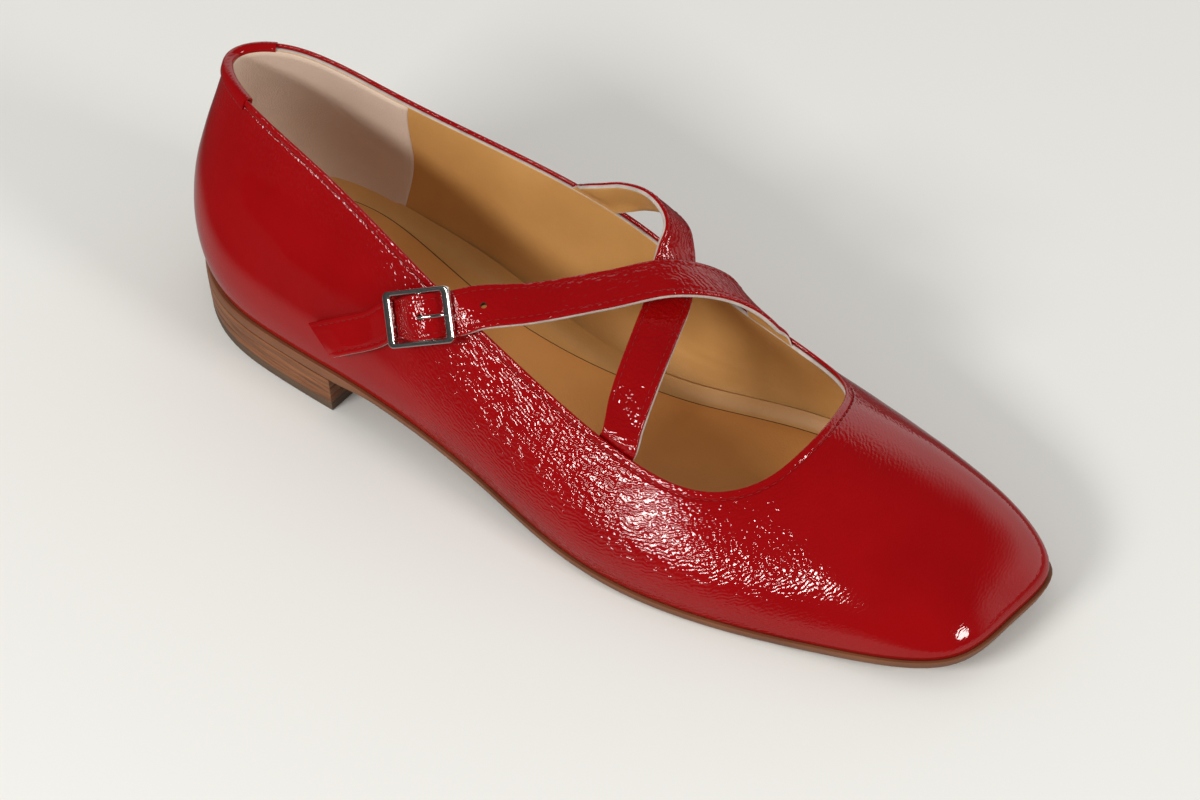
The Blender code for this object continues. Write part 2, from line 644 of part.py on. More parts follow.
def make_straps_and_buckle(outside, inside, finishes, shoe):
    """The cross strap, the buckle strap over it, and the buckle on the outer side."""
    lining = surface_tree(inside)
    cross_rows = (lining_rows(lining, CROSS_ROOT, 1) + free_rows(CROSS_STRAP)
                  + lining_rows(lining, CROSS_END, -1))
    make_band("cross_strap", cross_rows, finishes["patent"], shoe)

    outer_wall = surface_tree(outside)
    place = buckle_place(outer_wall)
    strap_rows = (lining_rows(lining, BUCKLE_ROOT, 1) + free_rows(BUCKLE_STRAP)
                  + buckled_rows(outer_wall, place))
    strap = make_band("buckle_strap", strap_rows, finishes["patent"], shoe, TAIL_SKEW)

    buckle = bpy.data.objects.new("buckle", None)
    bpy.context.collection.objects.link(buckle)
    buckle.parent = shoe
    buckle.location = place.translation * MM
    buckle.rotation_euler = place.to_euler()
    make_buckle_frame(finishes["steel"], buckle)
    make_prong(finishes["steel"], buckle)
    make_tab(finishes["patent"], buckle)
    hole_x = -(BAR_RADIUS + PRONG_PLAY + PRONG_RADIUS)
    hole_outline = [(x + hole_x, y) for x, y in circle(PRONG_HOLE_RADIUS)]
    hole = make_prism("prong_hole_tool", (hole_outline,), HUMP_LIFT - 2 * STRAP_THICK,
                      HUMP_LIFT + 2 * STRAP_THICK, finishes["patent"], buckle)
    boolean(strap, hole, "DIFFERENCE")


def build():
    clear_scene()
    finishes = {
        "patent": material("red crinkle patent", (0.45, 0.004, 0.008), 0.16, coat=1.0),
        "lining": material("tan lining leather", (0.52, 0.31, 0.13), 0.55),
        "sole": material("brown sole leather", (0.23, 0.10, 0.045), 0.5),
        "stack": material("stacked heel leather", (0.36, 0.18, 0.08), 0.45),
        "top piece": material("dark brown rubber", (0.06, 0.035, 0.02), 0.6),
        "steel": material("polished steel", (0.75, 0.74, 0.72), 0.15, metallic=1.0),
    }
    shoe = bpy.data.objects.new("shoe", None)
    bpy.context.collection.objects.link(shoe)
    shoe.location.x = -ORIGIN_X * MM

    outside = upper_outside()
    inside = upper_inside(outside)
    make_upper(outside, inside, finishes["patent"], shoe)
    make_soles(outside[:, 0, :2], finishes, shoe)
    make_straps_and_buckle(outside, inside, finishes, shoe)


build()
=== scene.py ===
# %% [markdown]
# # A ballet flat in red crinkle patent
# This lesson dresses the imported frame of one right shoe: a square-toed ballet flat with two instep
# straps that cross, a small buckle and a low stacked heel. The frame already has every size, so the
# lesson is about surfaces: a lasted upper in two layers, its lining, the straps, the stitches, the
# sole and heel, and the steel of the buckle. All sizes are in millimetres until a mesh is made.

import math

import bmesh
import bpy
import numpy as np
from mathutils import Matrix, Vector, noise
from mathutils.bvhtree import BVHTree


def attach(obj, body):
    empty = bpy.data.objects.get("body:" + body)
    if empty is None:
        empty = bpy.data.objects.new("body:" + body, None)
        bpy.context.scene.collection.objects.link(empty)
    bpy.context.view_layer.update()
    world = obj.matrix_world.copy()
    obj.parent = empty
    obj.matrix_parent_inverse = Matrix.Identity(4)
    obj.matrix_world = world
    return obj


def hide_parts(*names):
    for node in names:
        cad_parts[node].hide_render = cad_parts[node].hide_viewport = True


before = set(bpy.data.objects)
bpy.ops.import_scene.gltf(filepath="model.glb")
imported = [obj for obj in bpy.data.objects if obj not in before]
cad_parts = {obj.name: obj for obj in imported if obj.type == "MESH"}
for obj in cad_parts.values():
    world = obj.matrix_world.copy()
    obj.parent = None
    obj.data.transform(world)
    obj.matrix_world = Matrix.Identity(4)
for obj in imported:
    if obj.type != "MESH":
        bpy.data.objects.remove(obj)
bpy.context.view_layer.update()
print("frame nodes:", ", ".join(sorted(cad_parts)))

# %% [markdown]
# ## The last
# A shoe takes its shape from a last. It could be pulled out of a subdivided box by eye, but the
# frame's upper was drawn from eighteen sections round a last, and with the same table every layer of
# the shoe can be worked out at any fineness and still fit the frame. Patent leather mirrors its
# surroundings and shows every kink in a surface, so the curve through the sections is one whose
# curvature runs on evenly (a periodic cubic spline), not just its direction.

# %% Sizes of the shoe
MM = 0.001
LENGTH = 250.0            # feather line, where upper and sole meet, from heel to toe
BALL_WIDTH = 78.0
REAR_HEIGHT = 72.5
HEEL_RISE = 11.2
TOE_SPRING = 5.7
ORIGIN_X = 30.0           # the frame's origin, ahead of the back of the shoe
UPPER_WALL = 1.8
SOLE_THICK = 3.0
SOLE_MARGIN = 1.2
INSOLE_THICK = 1.8
GAP = 0.3
SEAT_END = 61.5
TREAD_START = 146.0
TREAD_END = 181.0
HEEL_BREAST = 62.5
HEEL_TAPER = 1.0
TOP_PIECE_THICK = 2.6
LEAN_BLEND = 20.0

SECTION_COLUMNS = ("foot_x", "foot_y", "flare", "rise", "rim_x", "rim_y", "rim_z", "lean", "reach")
SECTIONS = {
    "back":             (0.000, 0.006, 7.5, 22.5, 0.024, 0.015, 0.995, 16, 23.0),
    "back outer":       (0.060, -0.278, 8.5, 19.5, 0.075, -0.145, 1.000, 15, 21.0),
    "heel outer":       (0.168, -0.385, 5.5, 17.5, 0.200, -0.209, 0.892, 20, 18.5),
    "waist outer":      (0.313, -0.414, 4.0, 15.0, 0.340, -0.279, 0.743, 25, 16.0),
    "arch outer":       (0.458, -0.446, 6.0, 12.0, 0.465, -0.319, 0.590, 30, 14.0),
    "joint outer":      (0.607, -0.526, 5.0, 12.0, 0.590, -0.365, 0.484, 33, 14.0),
    "ball outer":       (0.732, -0.499, 2.7, 11.0, 0.690, -0.346, 0.428, 42, 14.0),
    "toe side outer":   (0.874, -0.380, 1.5, 8.5, 0.747, -0.221, 0.462, 56, 17.5),
    "toe corner outer": (0.981, -0.227, 1.0, 8.0, 0.766, -0.103, 0.524, 69, 24.0),
    "toe":              (1.000, 0.027, 1.3, 9.7, 0.770, 0.026, 0.552, 73, 26.5),
    "toe corner inner": (0.993, 0.285, 2.0, 12.0, 0.761, 0.174, 0.528, 74, 25.0),
    "toe side inner":   (0.910, 0.394, 3.0, 13.5, 0.744, 0.286, 0.488, 64, 19.0),
    "ball inner":       (0.779, 0.469, 4.5, 14.0, 0.692, 0.365, 0.477, 39, 15.0),
    "joint inner":      (0.654, 0.437, 5.0, 13.0, 0.579, 0.374, 0.566, 16, 15.0),
    "arch inner":       (0.495, 0.295, 10.0, 15.0, 0.461, 0.382, 0.690, 0, 16.0),
    "waist inner":      (0.334, 0.303, 7.0, 16.0, 0.327, 0.337, 0.789, 2, 17.0),
    "heel inner":       (0.170, 0.355, 4.5, 18.0, 0.187, 0.236, 0.913, 10, 18.0),
    "back inner":       (0.048, 0.291, 6.5, 20.5, 0.071, 0.150, 1.000, 15, 20.5),
}
TOE_SECTION = list(SECTIONS).index("toe")
SECTION_SCALE = np.array([LENGTH, BALL_WIDTH, 1, 1, LENGTH, BALL_WIDTH, REAR_HEIGHT, 1, 1])
print(len(SECTIONS), "sections round the last")


# %% Lines and steps
def unit(vectors):
    """Vectors of length one."""
    vectors = np.asarray(vectors, float)
    return vectors / np.linalg.norm(vectors, axis=-1, keepdims=True)


def soft_step(values, start, end):
    """0 before start, 1 after end, easing in and out between them."""
    t = np.clip((np.asarray(values, float) - start) / (end - start), 0, 1)
    return t * t * (3 - 2 * t)


def bump_at(values, middle, reach):
    """1 at the middle, easing to 0 within reach of it."""
    return soft_step(-np.abs(np.asarray(values, float) - middle), -reach, 0)


def along_line(wanted, given, line):
    """Points on a line at the wanted places, where given is the place of each of its own points."""
    return np.stack([np.interp(wanted, given, line[:, axis]) for axis in range(line.shape[1])], axis=-1)


def running_length(line):
    """Distance of each point of a line from its start."""
    return np.concatenate([[0.0], np.cumsum(np.linalg.norm(np.diff(line, axis=0), axis=1))])


# %% Curves
def hermite(rows, slopes, knots, at, closed):
    """Points on the cubic curve through rows with the given slopes."""
    segment = np.clip(np.searchsorted(knots, at, side="right") - 1, 0, len(knots) - 2)
    after = (segment + 1) % len(rows) if closed else segment + 1
    span = np.diff(knots)[segment]
    w = ((at - knots[segment]) / span)[:, None]
    span = span[:, None]
    return ((2 * w**3 - 3 * w**2 + 1) * rows[segment] + (w**3 - 2 * w**2 + w) * span * slopes[segment]
            + (3 * w**2 - 2 * w**3) * rows[after] + (w**3 - w**2) * span * slopes[after])


def smooth_loop(rows, knots, at):
    """Closed curve through rows whose curvature has no jumps."""
    count = len(rows)
    step = np.diff(knots)
    rate = (np.roll(rows, -1, axis=0) - rows) / step[:, None]
    weights = np.zeros((count, count))
    pull = np.zeros_like(rows)
    for i in range(count):
        weights[i, i - 1] = step[i]
        weights[i, i] = 2 * (step[i - 1] + step[i])
        weights[i, (i + 1) % count] = step[i - 1]
        pull[i] = 3 * (step[i] * rate[i - 1] + step[i - 1] * rate[i])
    return hermite(rows, np.linalg.solve(weights, pull), knots, at, closed=True)


def open_curve(rows, knots, at):
    """Open curve through rows, as the frame's straps were drawn."""
    step = np.diff(knots)[:, None]
    rate = np.diff(rows, axis=0) / step
    inner = (rate[:-1] * step[1:] + rate[1:] * step[:-1]) / (step[1:] + step[:-1])
    return hermite(rows, np.concatenate([rate[:1], inner, rate[-1:]]), knots, at, closed=False)


def outward(loop):
    """Horizontal direction pointing out of a loop that runs back, outer side, toe, inner side."""
    along = unit(np.roll(loop[:, :2], -1, axis=0) - np.roll(loop[:, :2], 1, axis=0))
    return np.column_stack([along[:, 1], -along[:, 0]])


# %% Heights of the sole
def sole_underside(x):
    """Height of the outsole's underside: heel seat, arch, flat tread and toe spring."""
    x = np.asarray(x, float)
    arch = np.clip((x - SEAT_END) / (TREAD_START - SEAT_END), 0, 1)
    spring = np.clip((x - TREAD_END) / (LENGTH - TREAD_END), 0, None)
    return HEEL_RISE * (0.5 + 0.5 * np.cos(np.pi * arch)) + TOE_SPRING * spring**2


def sole_topside(x):
    return sole_underside(x) + SOLE_THICK


# %% [markdown]
# The wall of the upper is a fan of spokes, each a curve from the feather line up to the topline. The
# spokes are counted from the middle of the back, forward along the outer side to the toe and back
# along the inner side. A place on the wall is then given by a share of the way round and a distance
# down from the topline, which is how a shoemaker would mark it.

# %% The wall of the upper
SPOKES = 832
CLIMB = 129               # samples up each spoke


def last_wall():
    """Outer face of the upper: SPOKES spokes of CLIMB points, feather line to topline."""
    table = np.array(list(SECTIONS.values()), float) * SECTION_SCALE
    foot_step = np.linalg.norm(np.roll(table[:, 0:2], -1, axis=0) - table[:, 0:2], axis=1)
    rim_step = np.linalg.norm(np.roll(table[:, 4:6], -1, axis=0) - table[:, 4:6], axis=1)
    knots = np.concatenate([[0.0], np.cumsum(np.sqrt((foot_step + rim_step) / 2))])
    half = SPOKES // 2
    outer_side = np.linspace(0, knots[TOE_SECTION], half, endpoint=False)
    inner_side = np.linspace(knots[TOE_SECTION], knots[-1], half, endpoint=False)
    values = smooth_loop(table, knots, np.concatenate([outer_side, inner_side]))
    part = dict(zip(SECTION_COLUMNS, values.T))
    foot = np.column_stack([part["foot_x"], part["foot_y"], sole_topside(part["foot_x"]) + GAP])
    rim = np.column_stack([part["rim_x"], part["rim_y"], part["rim_z"]])
    out = outward(foot)
    away = unit(foot[:, :2] - rim[:, :2] + out * LEAN_BLEND)
    lean = np.radians(part["lean"])
    low = foot + np.column_stack([out * part["flare"][:, None], part["rise"]])
    inward_shift = away * (np.sin(lean) * part["reach"])[:, None]
    high = rim + np.column_stack([inward_shift, -np.cos(lean) * part["reach"]])
    v = np.linspace(0, 1, CLIMB)[None, :, None]
    return ((1 - v)**3 * foot[:, None] + 3 * v * (1 - v)**2 * low[:, None]
            + 3 * v**2 * (1 - v) * high[:, None] + v**3 * rim[:, None])


def grid_normals(grid):
    """Outward normals of a grid that is closed around and open from foot to rim."""
    around = np.roll(grid, -1, axis=0) - np.roll(grid, 1, axis=0)
    return unit(np.cross(around, np.gradient(grid, axis=1)))


def downs_of(grid):
    """Distance of each grid point from the topline, measured up its own spoke."""
    steps = np.linalg.norm(np.diff(grid, axis=1), axis=2)
    return np.concatenate([np.cumsum(steps[:, ::-1], axis=1)[:, ::-1], np.zeros((len(grid), 1))], axis=1)


WALL = last_wall()
WALL_NORMALS = grid_normals(WALL)
BELOW_RIM = downs_of(WALL)
FEATHER = WALL[:, 0, :2]
print(f"wall {BELOW_RIM[:, 0].min():.1f} to {BELOW_RIM[:, 0].max():.1f} mm from feather line to topline")


# %% Places on the wall
def spoke_at(share, down, depth=0.0):
    """Point and normal at a share of the way round, down from the topline and in from the face."""
    place = (share % 1.0) * SPOKES
    first = int(place) % SPOKES
    blend = place - int(place)
    point = np.zeros(3)
    normal = np.zeros(3)
    for spoke, weight in ((first, 1 - blend), ((first + 1) % SPOKES, blend)):
        fall = BELOW_RIM[spoke, ::-1]
        point += weight * along_line(down, fall, WALL[spoke, ::-1])
        normal += weight * along_line(down, fall, WALL_NORMALS[spoke, ::-1])
    normal = unit(normal)
    return point - normal * depth, normal


def wall_rows(downs, wall_steps):
    """For each spoke, points at fixed distances below the topline, and evenly on down to the foot."""
    rows = []
    for wall, below in zip(WALL, BELOW_RIM):
        wanted = np.concatenate([np.linspace(below[0], downs[0], wall_steps, endpoint=False), downs])
        rows.append(along_line(wanted, below[::-1], wall[::-1]))
    return np.array(rows)


# %% [markdown]
# ## Making pieces
# A Solidify modifier would give a flat sheet its thickness, but not the rolled, tucked and skived
# edges of a shoe's pieces. So most of them are grids of points that close on themselves: the upper is
# a ring with a closed section, and a strap is a bar with two ends. One helper turns such a grid into a
# mesh whose faces look outward, in metres and in the frame's place.

# %% Mesh helpers
def grid_faces(rows, columns, ring=True, tube=True):
    """Quads of a grid: ring joins the last row to the first, tube the last column to the first."""
    faces = []
    for i in range(rows if ring else rows - 1):
        j = (i + 1) % rows
        for k in range(columns if tube else columns - 1):
            n = (k + 1) % columns
            faces.append((i * columns + k, j * columns + k, j * columns + n, i * columns + n))
    return faces


def bar_faces(rows, columns):
    """Faces of a bar whose section closes on itself; the last two close its ends."""
    ends = [tuple(range(columns)), tuple(range((rows - 1) * columns, rows * columns))]
    return grid_faces(rows, columns, ring=False) + ends


def show(name, thing):
    """An object in the scene that holds a mesh, a light or a camera."""
    made = bpy.data.objects.new(name, thing)
    bpy.context.scene.collection.objects.link(made)
    return made


def make_piece(name, points, faces, finishes, sharp_above=None, finish_of_face=None):
    """A mesh in metres, facing outward, in the frame's place."""
    points = (np.asarray(points, float).reshape(-1, 3) - (ORIGIN_X, 0, 0)) * MM
    mesh = bpy.data.meshes.new(name)
    mesh.from_pydata(points.tolist(), [], faces)
    for finish in finishes:
        mesh.materials.append(finish)
    if finish_of_face is not None:
        mesh.polygons.foreach_set("material_index", np.asarray(finish_of_face, np.int32))
    body = bmesh.new()
    body.from_mesh(mesh)
    bmesh.ops.recalc_face_normals(body, faces=body.faces)
    body.to_mesh(mesh)
    body.free()
    mesh.shade_smooth()
    if sharp_above is not None:
        mesh.set_sharp_from_angle(angle=math.radians(sharp_above))
    return show(name, mesh)


def settle(piece, slot, *nodes):
    """The piece rides on the shoe and may stand for frame nodes, whose parts it hides. Its slot is not used.
    """
    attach(piece, "root")
    if nodes:
        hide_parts(*nodes)
    print(f"{piece.name}: {len(piece.data.polygons)} faces")
    return piece


def as_plain_mesh(thing, name):
    """The evaluated shape of thing as a mesh of its own; thing and its modifiers go."""
    shape = bpy.context.evaluated_depsgraph_get()
    mesh = bpy.data.meshes.new_from_object(thing.evaluated_get(shape))
    bpy.data.objects.remove(thing, do_unlink=True)
    mesh.name = name
    return show(name, mesh)


def cut_away(piece, tools, name):
    """The piece without the shapes of the tools, as a plain mesh; piece and tools go."""
    for tool in tools:
        cut = piece.modifiers.new("Cut", "BOOLEAN")
        cut.operation = "DIFFERENCE"
        cut.solver = "EXACT"
        cut.material_mode = "TRANSFER"
        cut.object = tool
    made = as_plain_mesh(piece, name)
    for tool in tools:
        bpy.data.objects.remove(tool, do_unlink=True)
    return made


# %% [markdown]
# ## Finishes
# Every finish is a small tree of shader nodes. Three effects come back in several of them, so each is
# a node group with named inputs: the crinkle of the patent film, the grain of plain leather, and a
# slow change of tone over a hide. The groups give out only heights and masks. The shader itself stays
# in each material, where its plain values are set on its own sockets.

# %% Node helpers
VECTOR = "NodeSocketVector"
NUMBER = "NodeSocketFloat"


def add_node(tree, kind, inputs=(), **settings):
    """A node with its properties set; each input gets a plain value or another node's output."""
    made = tree.nodes.new(kind)
    for name, value in settings.items():
        setattr(made, name, value)
    for name, value in dict(inputs).items():
        if isinstance(value, bpy.types.NodeSocket):
            tree.links.new(value, made.inputs[name])
        else:
            made.inputs[name].default_value = value
    return made


def maths(tree, operation, *values):
    """The result of a Math node on numbers or outputs."""
    return add_node(tree, "ShaderNodeMath", enumerate(values), operation=operation).outputs[0]


def spread(tree, value, low, high, to_low=0.0, to_high=1.0, easing="LINEAR"):
    """A value taken from the range low to high to another range, and held at its ends."""
    inputs = {"Value": value, "From Min": low, "From Max": high, "To Min": to_low, "To Max": to_high}
    return add_node(tree, "ShaderNodeMapRange", inputs, interpolation_type=easing).outputs["Result"]


def cloudy(tree, place, scale, detail, roughness=0.5):
    """Plain noise."""
    inputs = {"Vector": place, "Scale": scale, "Detail": detail, "Roughness": roughness}
    return add_node(tree, "ShaderNodeTexNoise", inputs).outputs["Fac"]


def start_group(name, result, *inputs):
    """An empty shader group: what it is given, and the socket that takes its result."""
    group = bpy.data.node_groups.new(name, "ShaderNodeTree")
    group.interface.new_socket("Place", in_out="INPUT", socket_type=VECTOR)
    for label, value in inputs:
        group.interface.new_socket(label, in_out="INPUT", socket_type=NUMBER).default_value = value
    group.interface.new_socket(result, in_out="OUTPUT", socket_type=NUMBER)
    given = group.nodes.new("NodeGroupInput").outputs
    return group, given, group.nodes.new("NodeGroupOutput").inputs[result]


# %% [markdown]
# Crinkle patent is leather with a film that was shrunk while it set, so the film lies in fine ridges
# that wander like the lines of a fingertip, about a millimetre apart. A cell texture would give
# flakes, and a plain noise would give dimples. Rings of one wave, pushed about by a slower noise,
# wander just so. A fine noise breaks each ridge into short strokes, and a slow one calms the whole in
# patches.

# %% The crinkle group
RINGS_ROUND = (0.118, -0.030, 0.105)    # the middle of the rings, above the outer side's topline
WAVE_UNIT = 0.314                       # a wave of scale one has 1 / 0.314 rings in a metre
PATCHES_PER_METRE = 70.0


def crinkle_group():
    group, given, result = start_group("Crinkle", "Height", ("Ridges per metre", 1000.0), ("Wander", 8.0),
                                       ("Broken", 3.0), ("Calm", 0.2))
    place = given["Place"]
    centred = add_node(group, "ShaderNodeVectorMath", {0: place, 1: RINGS_ROUND}, operation="SUBTRACT")
    wave = {"Vector": centred.outputs[0], "Distortion": given["Wander"], "Detail": 1.0,
            "Scale": maths(group, "MULTIPLY", given["Ridges per metre"], WAVE_UNIT),
            "Detail Scale": 1.1, "Detail Roughness": 0.5}
    ridges = add_node(group, "ShaderNodeTexWave", wave, wave_type="RINGS", rings_direction="SPHERICAL")
    fine = cloudy(group, place, given["Ridges per metre"], 1.0)
    strokes = maths(group, "MULTIPLY_ADD", fine, given["Broken"], ridges.outputs["Fac"])
    lowest = maths(group, "SUBTRACT", 1.0, given["Calm"])
    patch = spread(group, cloudy(group, place, PATCHES_PER_METRE, 1.0), 0.35, 0.6, lowest, 1.0, "SMOOTHSTEP")
    group.links.new(maths(group, "MULTIPLY", strokes, patch), result)
    return group


CRINKLE = crinkle_group()


# %% The grain and tone groups
def grain_group():
    """Fine pores of plain leather: small cells, broken up by a finer noise."""
    group, given, result = start_group("Grain", "Height", ("Pores per metre", 1400.0))
    cell = {"Vector": given["Place"], "Scale": given["Pores per metre"], "Smoothness": 0.6}
    cells = add_node(group, "ShaderNodeTexVoronoi", cell, feature="SMOOTH_F1")
    fine = cloudy(group, given["Place"], 2600.0, 2.0)
    group.links.new(maths(group, "MULTIPLY_ADD", fine, 0.5, cells.outputs["Distance"]), result)
    return group


def tone_group():
    """A slow cloud from 0 to 1 that shifts a colour between two tones of one hide."""
    group, given, result = start_group("Tone", "Cloud", ("Clouds per metre", 30.0))
    cloud = cloudy(group, given["Place"], given["Clouds per metre"], 4.0, 0.55)
    group.links.new(spread(group, cloud, 0.3, 0.7), result)
    return group


GRAIN = grain_group()
TONE = tone_group()


# %% Material helpers
def start_finish(name, roughness, **sockets):
    """A material: its tree, Principled shader with plain socket values, and object coordinates."""
    made = bpy.data.materials.new(name)
    made.use_nodes = True
    tree = made.node_tree
    shader = tree.nodes["Principled BSDF"].inputs
    shader["Roughness"].default_value = roughness
    for label, value in sockets.items():
        shader[label.replace("_", " ")].default_value = value
    return made, tree, shader, tree.nodes.new("ShaderNodeTexCoord").outputs["Object"]


def use_group(tree, group, place, **values):
    """The result of a group fed with a place; values are its other inputs, by name."""
    made = add_node(tree, "ShaderNodeGroup", node_tree=group)
    tree.links.new(place, made.inputs["Place"])
    for label, value in values.items():
        made.inputs[label.replace("_", " ")].default_value = value
    return made.outputs[0]


def two_tones(tree, factor, dark, light, target):
    """Feeds target with a colour between two tones, by a factor from 0 to 1."""
    mix = add_node(tree, "ShaderNodeMix", {0: factor}, data_type="RGBA")
    colours = [socket for socket in mix.inputs if socket.type == "RGBA"]
    colours[0].default_value = (*dark, 1)
    colours[1].default_value = (*light, 1)
    tree.links.new([socket for socket in mix.outputs if socket.type == "RGBA"][0], target)


def raise_relief(tree, shader, height, tall):
    """A bump of the given height in metres on the shader's normal."""
    bump = add_node(tree, "ShaderNodeBump", {"Height": height, "Strength": 1.0, "Distance": tall})
    tree.links.new(bump.outputs["Normal"], shader["Normal"])


# %% [markdown]
# The patent is a clear, hard film over red dye, so it is a saturated red with a sharp reflection. The
# crinkle is full over the sides, where the leather hangs free, and pulled nearly smooth over the toe
# and round the heel counter, where the last stretches it. An attribute painted on the mesh says how
# full it is.

# %% Patent finish
CRINKLE_DEPTH = 0.00007


def patent_finish():
    made, tree, shader, place = start_finish("red crinkle patent", 0.07, IOR=1.52)
    tone = use_group(tree, TONE, place, Clouds_per_metre=45.0)
    two_tones(tree, tone, (0.240, 0.0010, 0.0020), (0.275, 0.0015, 0.0026), shader["Base Color"])
    amount = add_node(tree, "ShaderNodeAttribute", attribute_name="crinkle").outputs["Fac"]
    height = maths(tree, "MULTIPLY", use_group(tree, CRINKLE, place), amount)
    raise_relief(tree, shader, height, CRINKLE_DEPTH)
    return made


PATENT = patent_finish()


# %% [markdown]
# The lining is a smooth tan leather with a fine grain and soft clouds of tone. The heel grip is the
# same hide turned suede side up, greyer and quite matt. Where lining and straps are cut, the raw edge
# shows the pale, undyed middle of the leather.

# %% Leather finishes
def leather_finish(name, dark, light, roughness, pores, relief, clouds=35.0, **sockets):
    made, tree, shader, place = start_finish(name, roughness, **sockets)
    two_tones(tree, use_group(tree, TONE, place, Clouds_per_metre=clouds), dark, light, shader["Base Color"])
    raise_relief(tree, shader, use_group(tree, GRAIN, place, Pores_per_metre=pores), relief)
    return made


LINING = leather_finish("tan lining leather", (0.53, 0.272, 0.082), (0.62, 0.335, 0.108),
                        0.5, 1600.0, 0.00004)
SOCK = leather_finish("golden insole leather", (0.59, 0.265, 0.072), (0.67, 0.315, 0.092),
                      0.45, 1500.0, 0.00004)
SUEDE = leather_finish("grey heel suede", (0.59, 0.45, 0.35), (0.68, 0.53, 0.42),
                       0.95, 2400.0, 0.00010, Sheen_Weight=0.3, Sheen_Roughness=0.5)
RAW_EDGE = leather_finish("raw cut edge", (0.38, 0.32, 0.285), (0.55, 0.485, 0.44),
                          0.85, 2200.0, 0.00008, clouds=220.0)
SOLE_LEATHER = leather_finish("brown sole leather", (0.15, 0.050, 0.020), (0.21, 0.078, 0.032),
                              0.42, 1200.0, 0.00003)
RUBBER = leather_finish("dark top piece", (0.085, 0.05, 0.03), (0.12, 0.075, 0.045),
                        0.6, 1800.0, 0.00004)
# Dark brown for the sock's edge faces and, through the punches, the walls of the strap's holes: partly a
# dyed edge, partly painted shade of the seam and of the holes.
EDGE_DYE_AND_SHADE = leather_finish("dark dyed edge and painted shade", (0.06, 0.026, 0.012), (0.10, 0.045, 0.02),
                           0.8, 2000.0, 0.00005)


# %% Stacked heel, steel and thread
def stack_finish():
    """Leather lifts seen edge-on: fine dark streaks along the layers."""
    made, tree, shader, place = start_finish("stacked heel leather", 0.38)
    stretched = add_node(tree, "ShaderNodeMapping", {"Vector": place, "Scale": (0.05, 0.05, 1.0)})
    streaks = cloudy(tree, stretched.outputs["Vector"], 900.0, 5.0, 0.65)
    two_tones(tree, spread(tree, streaks, 0.36, 0.62), (0.085, 0.028, 0.009), (0.27, 0.098, 0.034),
              shader["Base Color"])
    raise_relief(tree, shader, streaks, 0.00006)
    return made


def steel_finish():
    """Polished steel with faint brushing that spreads its reflections."""
    made, tree, shader, place = start_finish("polished steel", 0.12, Metallic=1.0)
    brush = cloudy(tree, place, 1500.0, 3.0)
    tree.links.new(spread(tree, brush, 0.0, 1.0, 0.08, 0.2), shader["Roughness"])
    two_tones(tree, brush, (0.66, 0.65, 0.63), (0.74, 0.73, 0.71), shader["Base Color"])
    return made


def thread_finish(name, dark, light):
    """Twisted thread: a fine wave across the stitch."""
    made, tree, shader, place = start_finish(name, 0.6, Specular_IOR_Level=0.2)
    wave = {"Vector": place, "Scale": 900.0, "Distortion": 1.0}
    twist = add_node(tree, "ShaderNodeTexWave", wave).outputs["Fac"]
    two_tones(tree, twist, dark, light, shader["Base Color"])
    raise_relief(tree, shader, twist, 0.00003)
    return made


STACK = stack_finish()
STEEL = steel_finish()
RED_THREAD = thread_finish("red thread", (0.23, 0.002, 0.003), (0.29, 0.003, 0.004))
print(len(bpy.data.materials), "materials")

# %% [markdown]
# ## The upper
# The upper's outer leather is folded over at the topline and stitched down a couple of millimetres
# below it, so the very edge is a soft roll, the fold is a flat band that stands a little proud, and
# the stitching sits in a shallow groove. A sheet with thickness and a bevel would have neither band
# nor groove, so a solid ring with that whole section is swept round the last.

# %% Relief of the outer leather
LEATHER_THICK = 0.9
EDGE_BAND = 2.2           # from the topline to the stitching
BAND_PROUD = 0.22
STITCH_GROOVE = 0.20
FEATHER_TUCK = 0.45       # the leather runs this far down behind the sole's edge
GROOVE_REACH = 0.55
UNDULATION = 0.16         # a hide is never quite even
BROAD_WAVE = 21.0         # across one broad unevenness
NARROW_WAVE = 9.0
LEVEL_EDGE = 9.0          # it is level at both edges, and full this far from them
FOLD_ROLL = 0.45          # radius of the rolled edge
EDGE_DOWNS = (5.2, 4.5, 3.9, 3.4, 3.0, 2.75, 2.5, 2.35, 2.2, 2.05, 1.9, 1.65, 1.35, 1.0, 0.7, FOLD_ROLL)
WALL_STEPS = 44
LEATHER_BACK = [-1, -8, -14, -20, -26, -32, -38, -44, -50, 0]    # columns kept on its hidden side


def outer_relief(points, downs):
    """Height of the leather over the plain last at each point, in millimetres."""
    band = BAND_PROUD * (1 - soft_step(downs, EDGE_BAND - 0.55, EDGE_BAND - 0.1))
    groove = STITCH_GROOVE * bump_at(downs, EDGE_BAND, GROOVE_REACH)
    waves = np.zeros(downs.shape)
    for index in np.ndindex(downs.shape):
        spot = Vector(points[index])
        narrow = noise.noise(spot / NARROW_WAVE + Vector((7, 3, 1)))
        waves[index] = noise.noise(spot / BROAD_WAVE) + 0.5 * narrow
    foot = soft_step(downs[:, :1] - downs, 1.0, LEVEL_EDGE)
    return band - groove + UNDULATION * waves * soft_step(downs, 2.5, LEVEL_EDGE) * foot


skin = wall_rows(np.array(EDGE_DOWNS), WALL_STEPS)
skin_normals = grid_normals(skin)
skin_downs = downs_of(skin) + FOLD_ROLL
skin = skin + skin_normals * outer_relief(skin, skin_downs)[..., None]
print(f"outer leather: {skin.shape[0]} spokes of {skin.shape[1]} points")

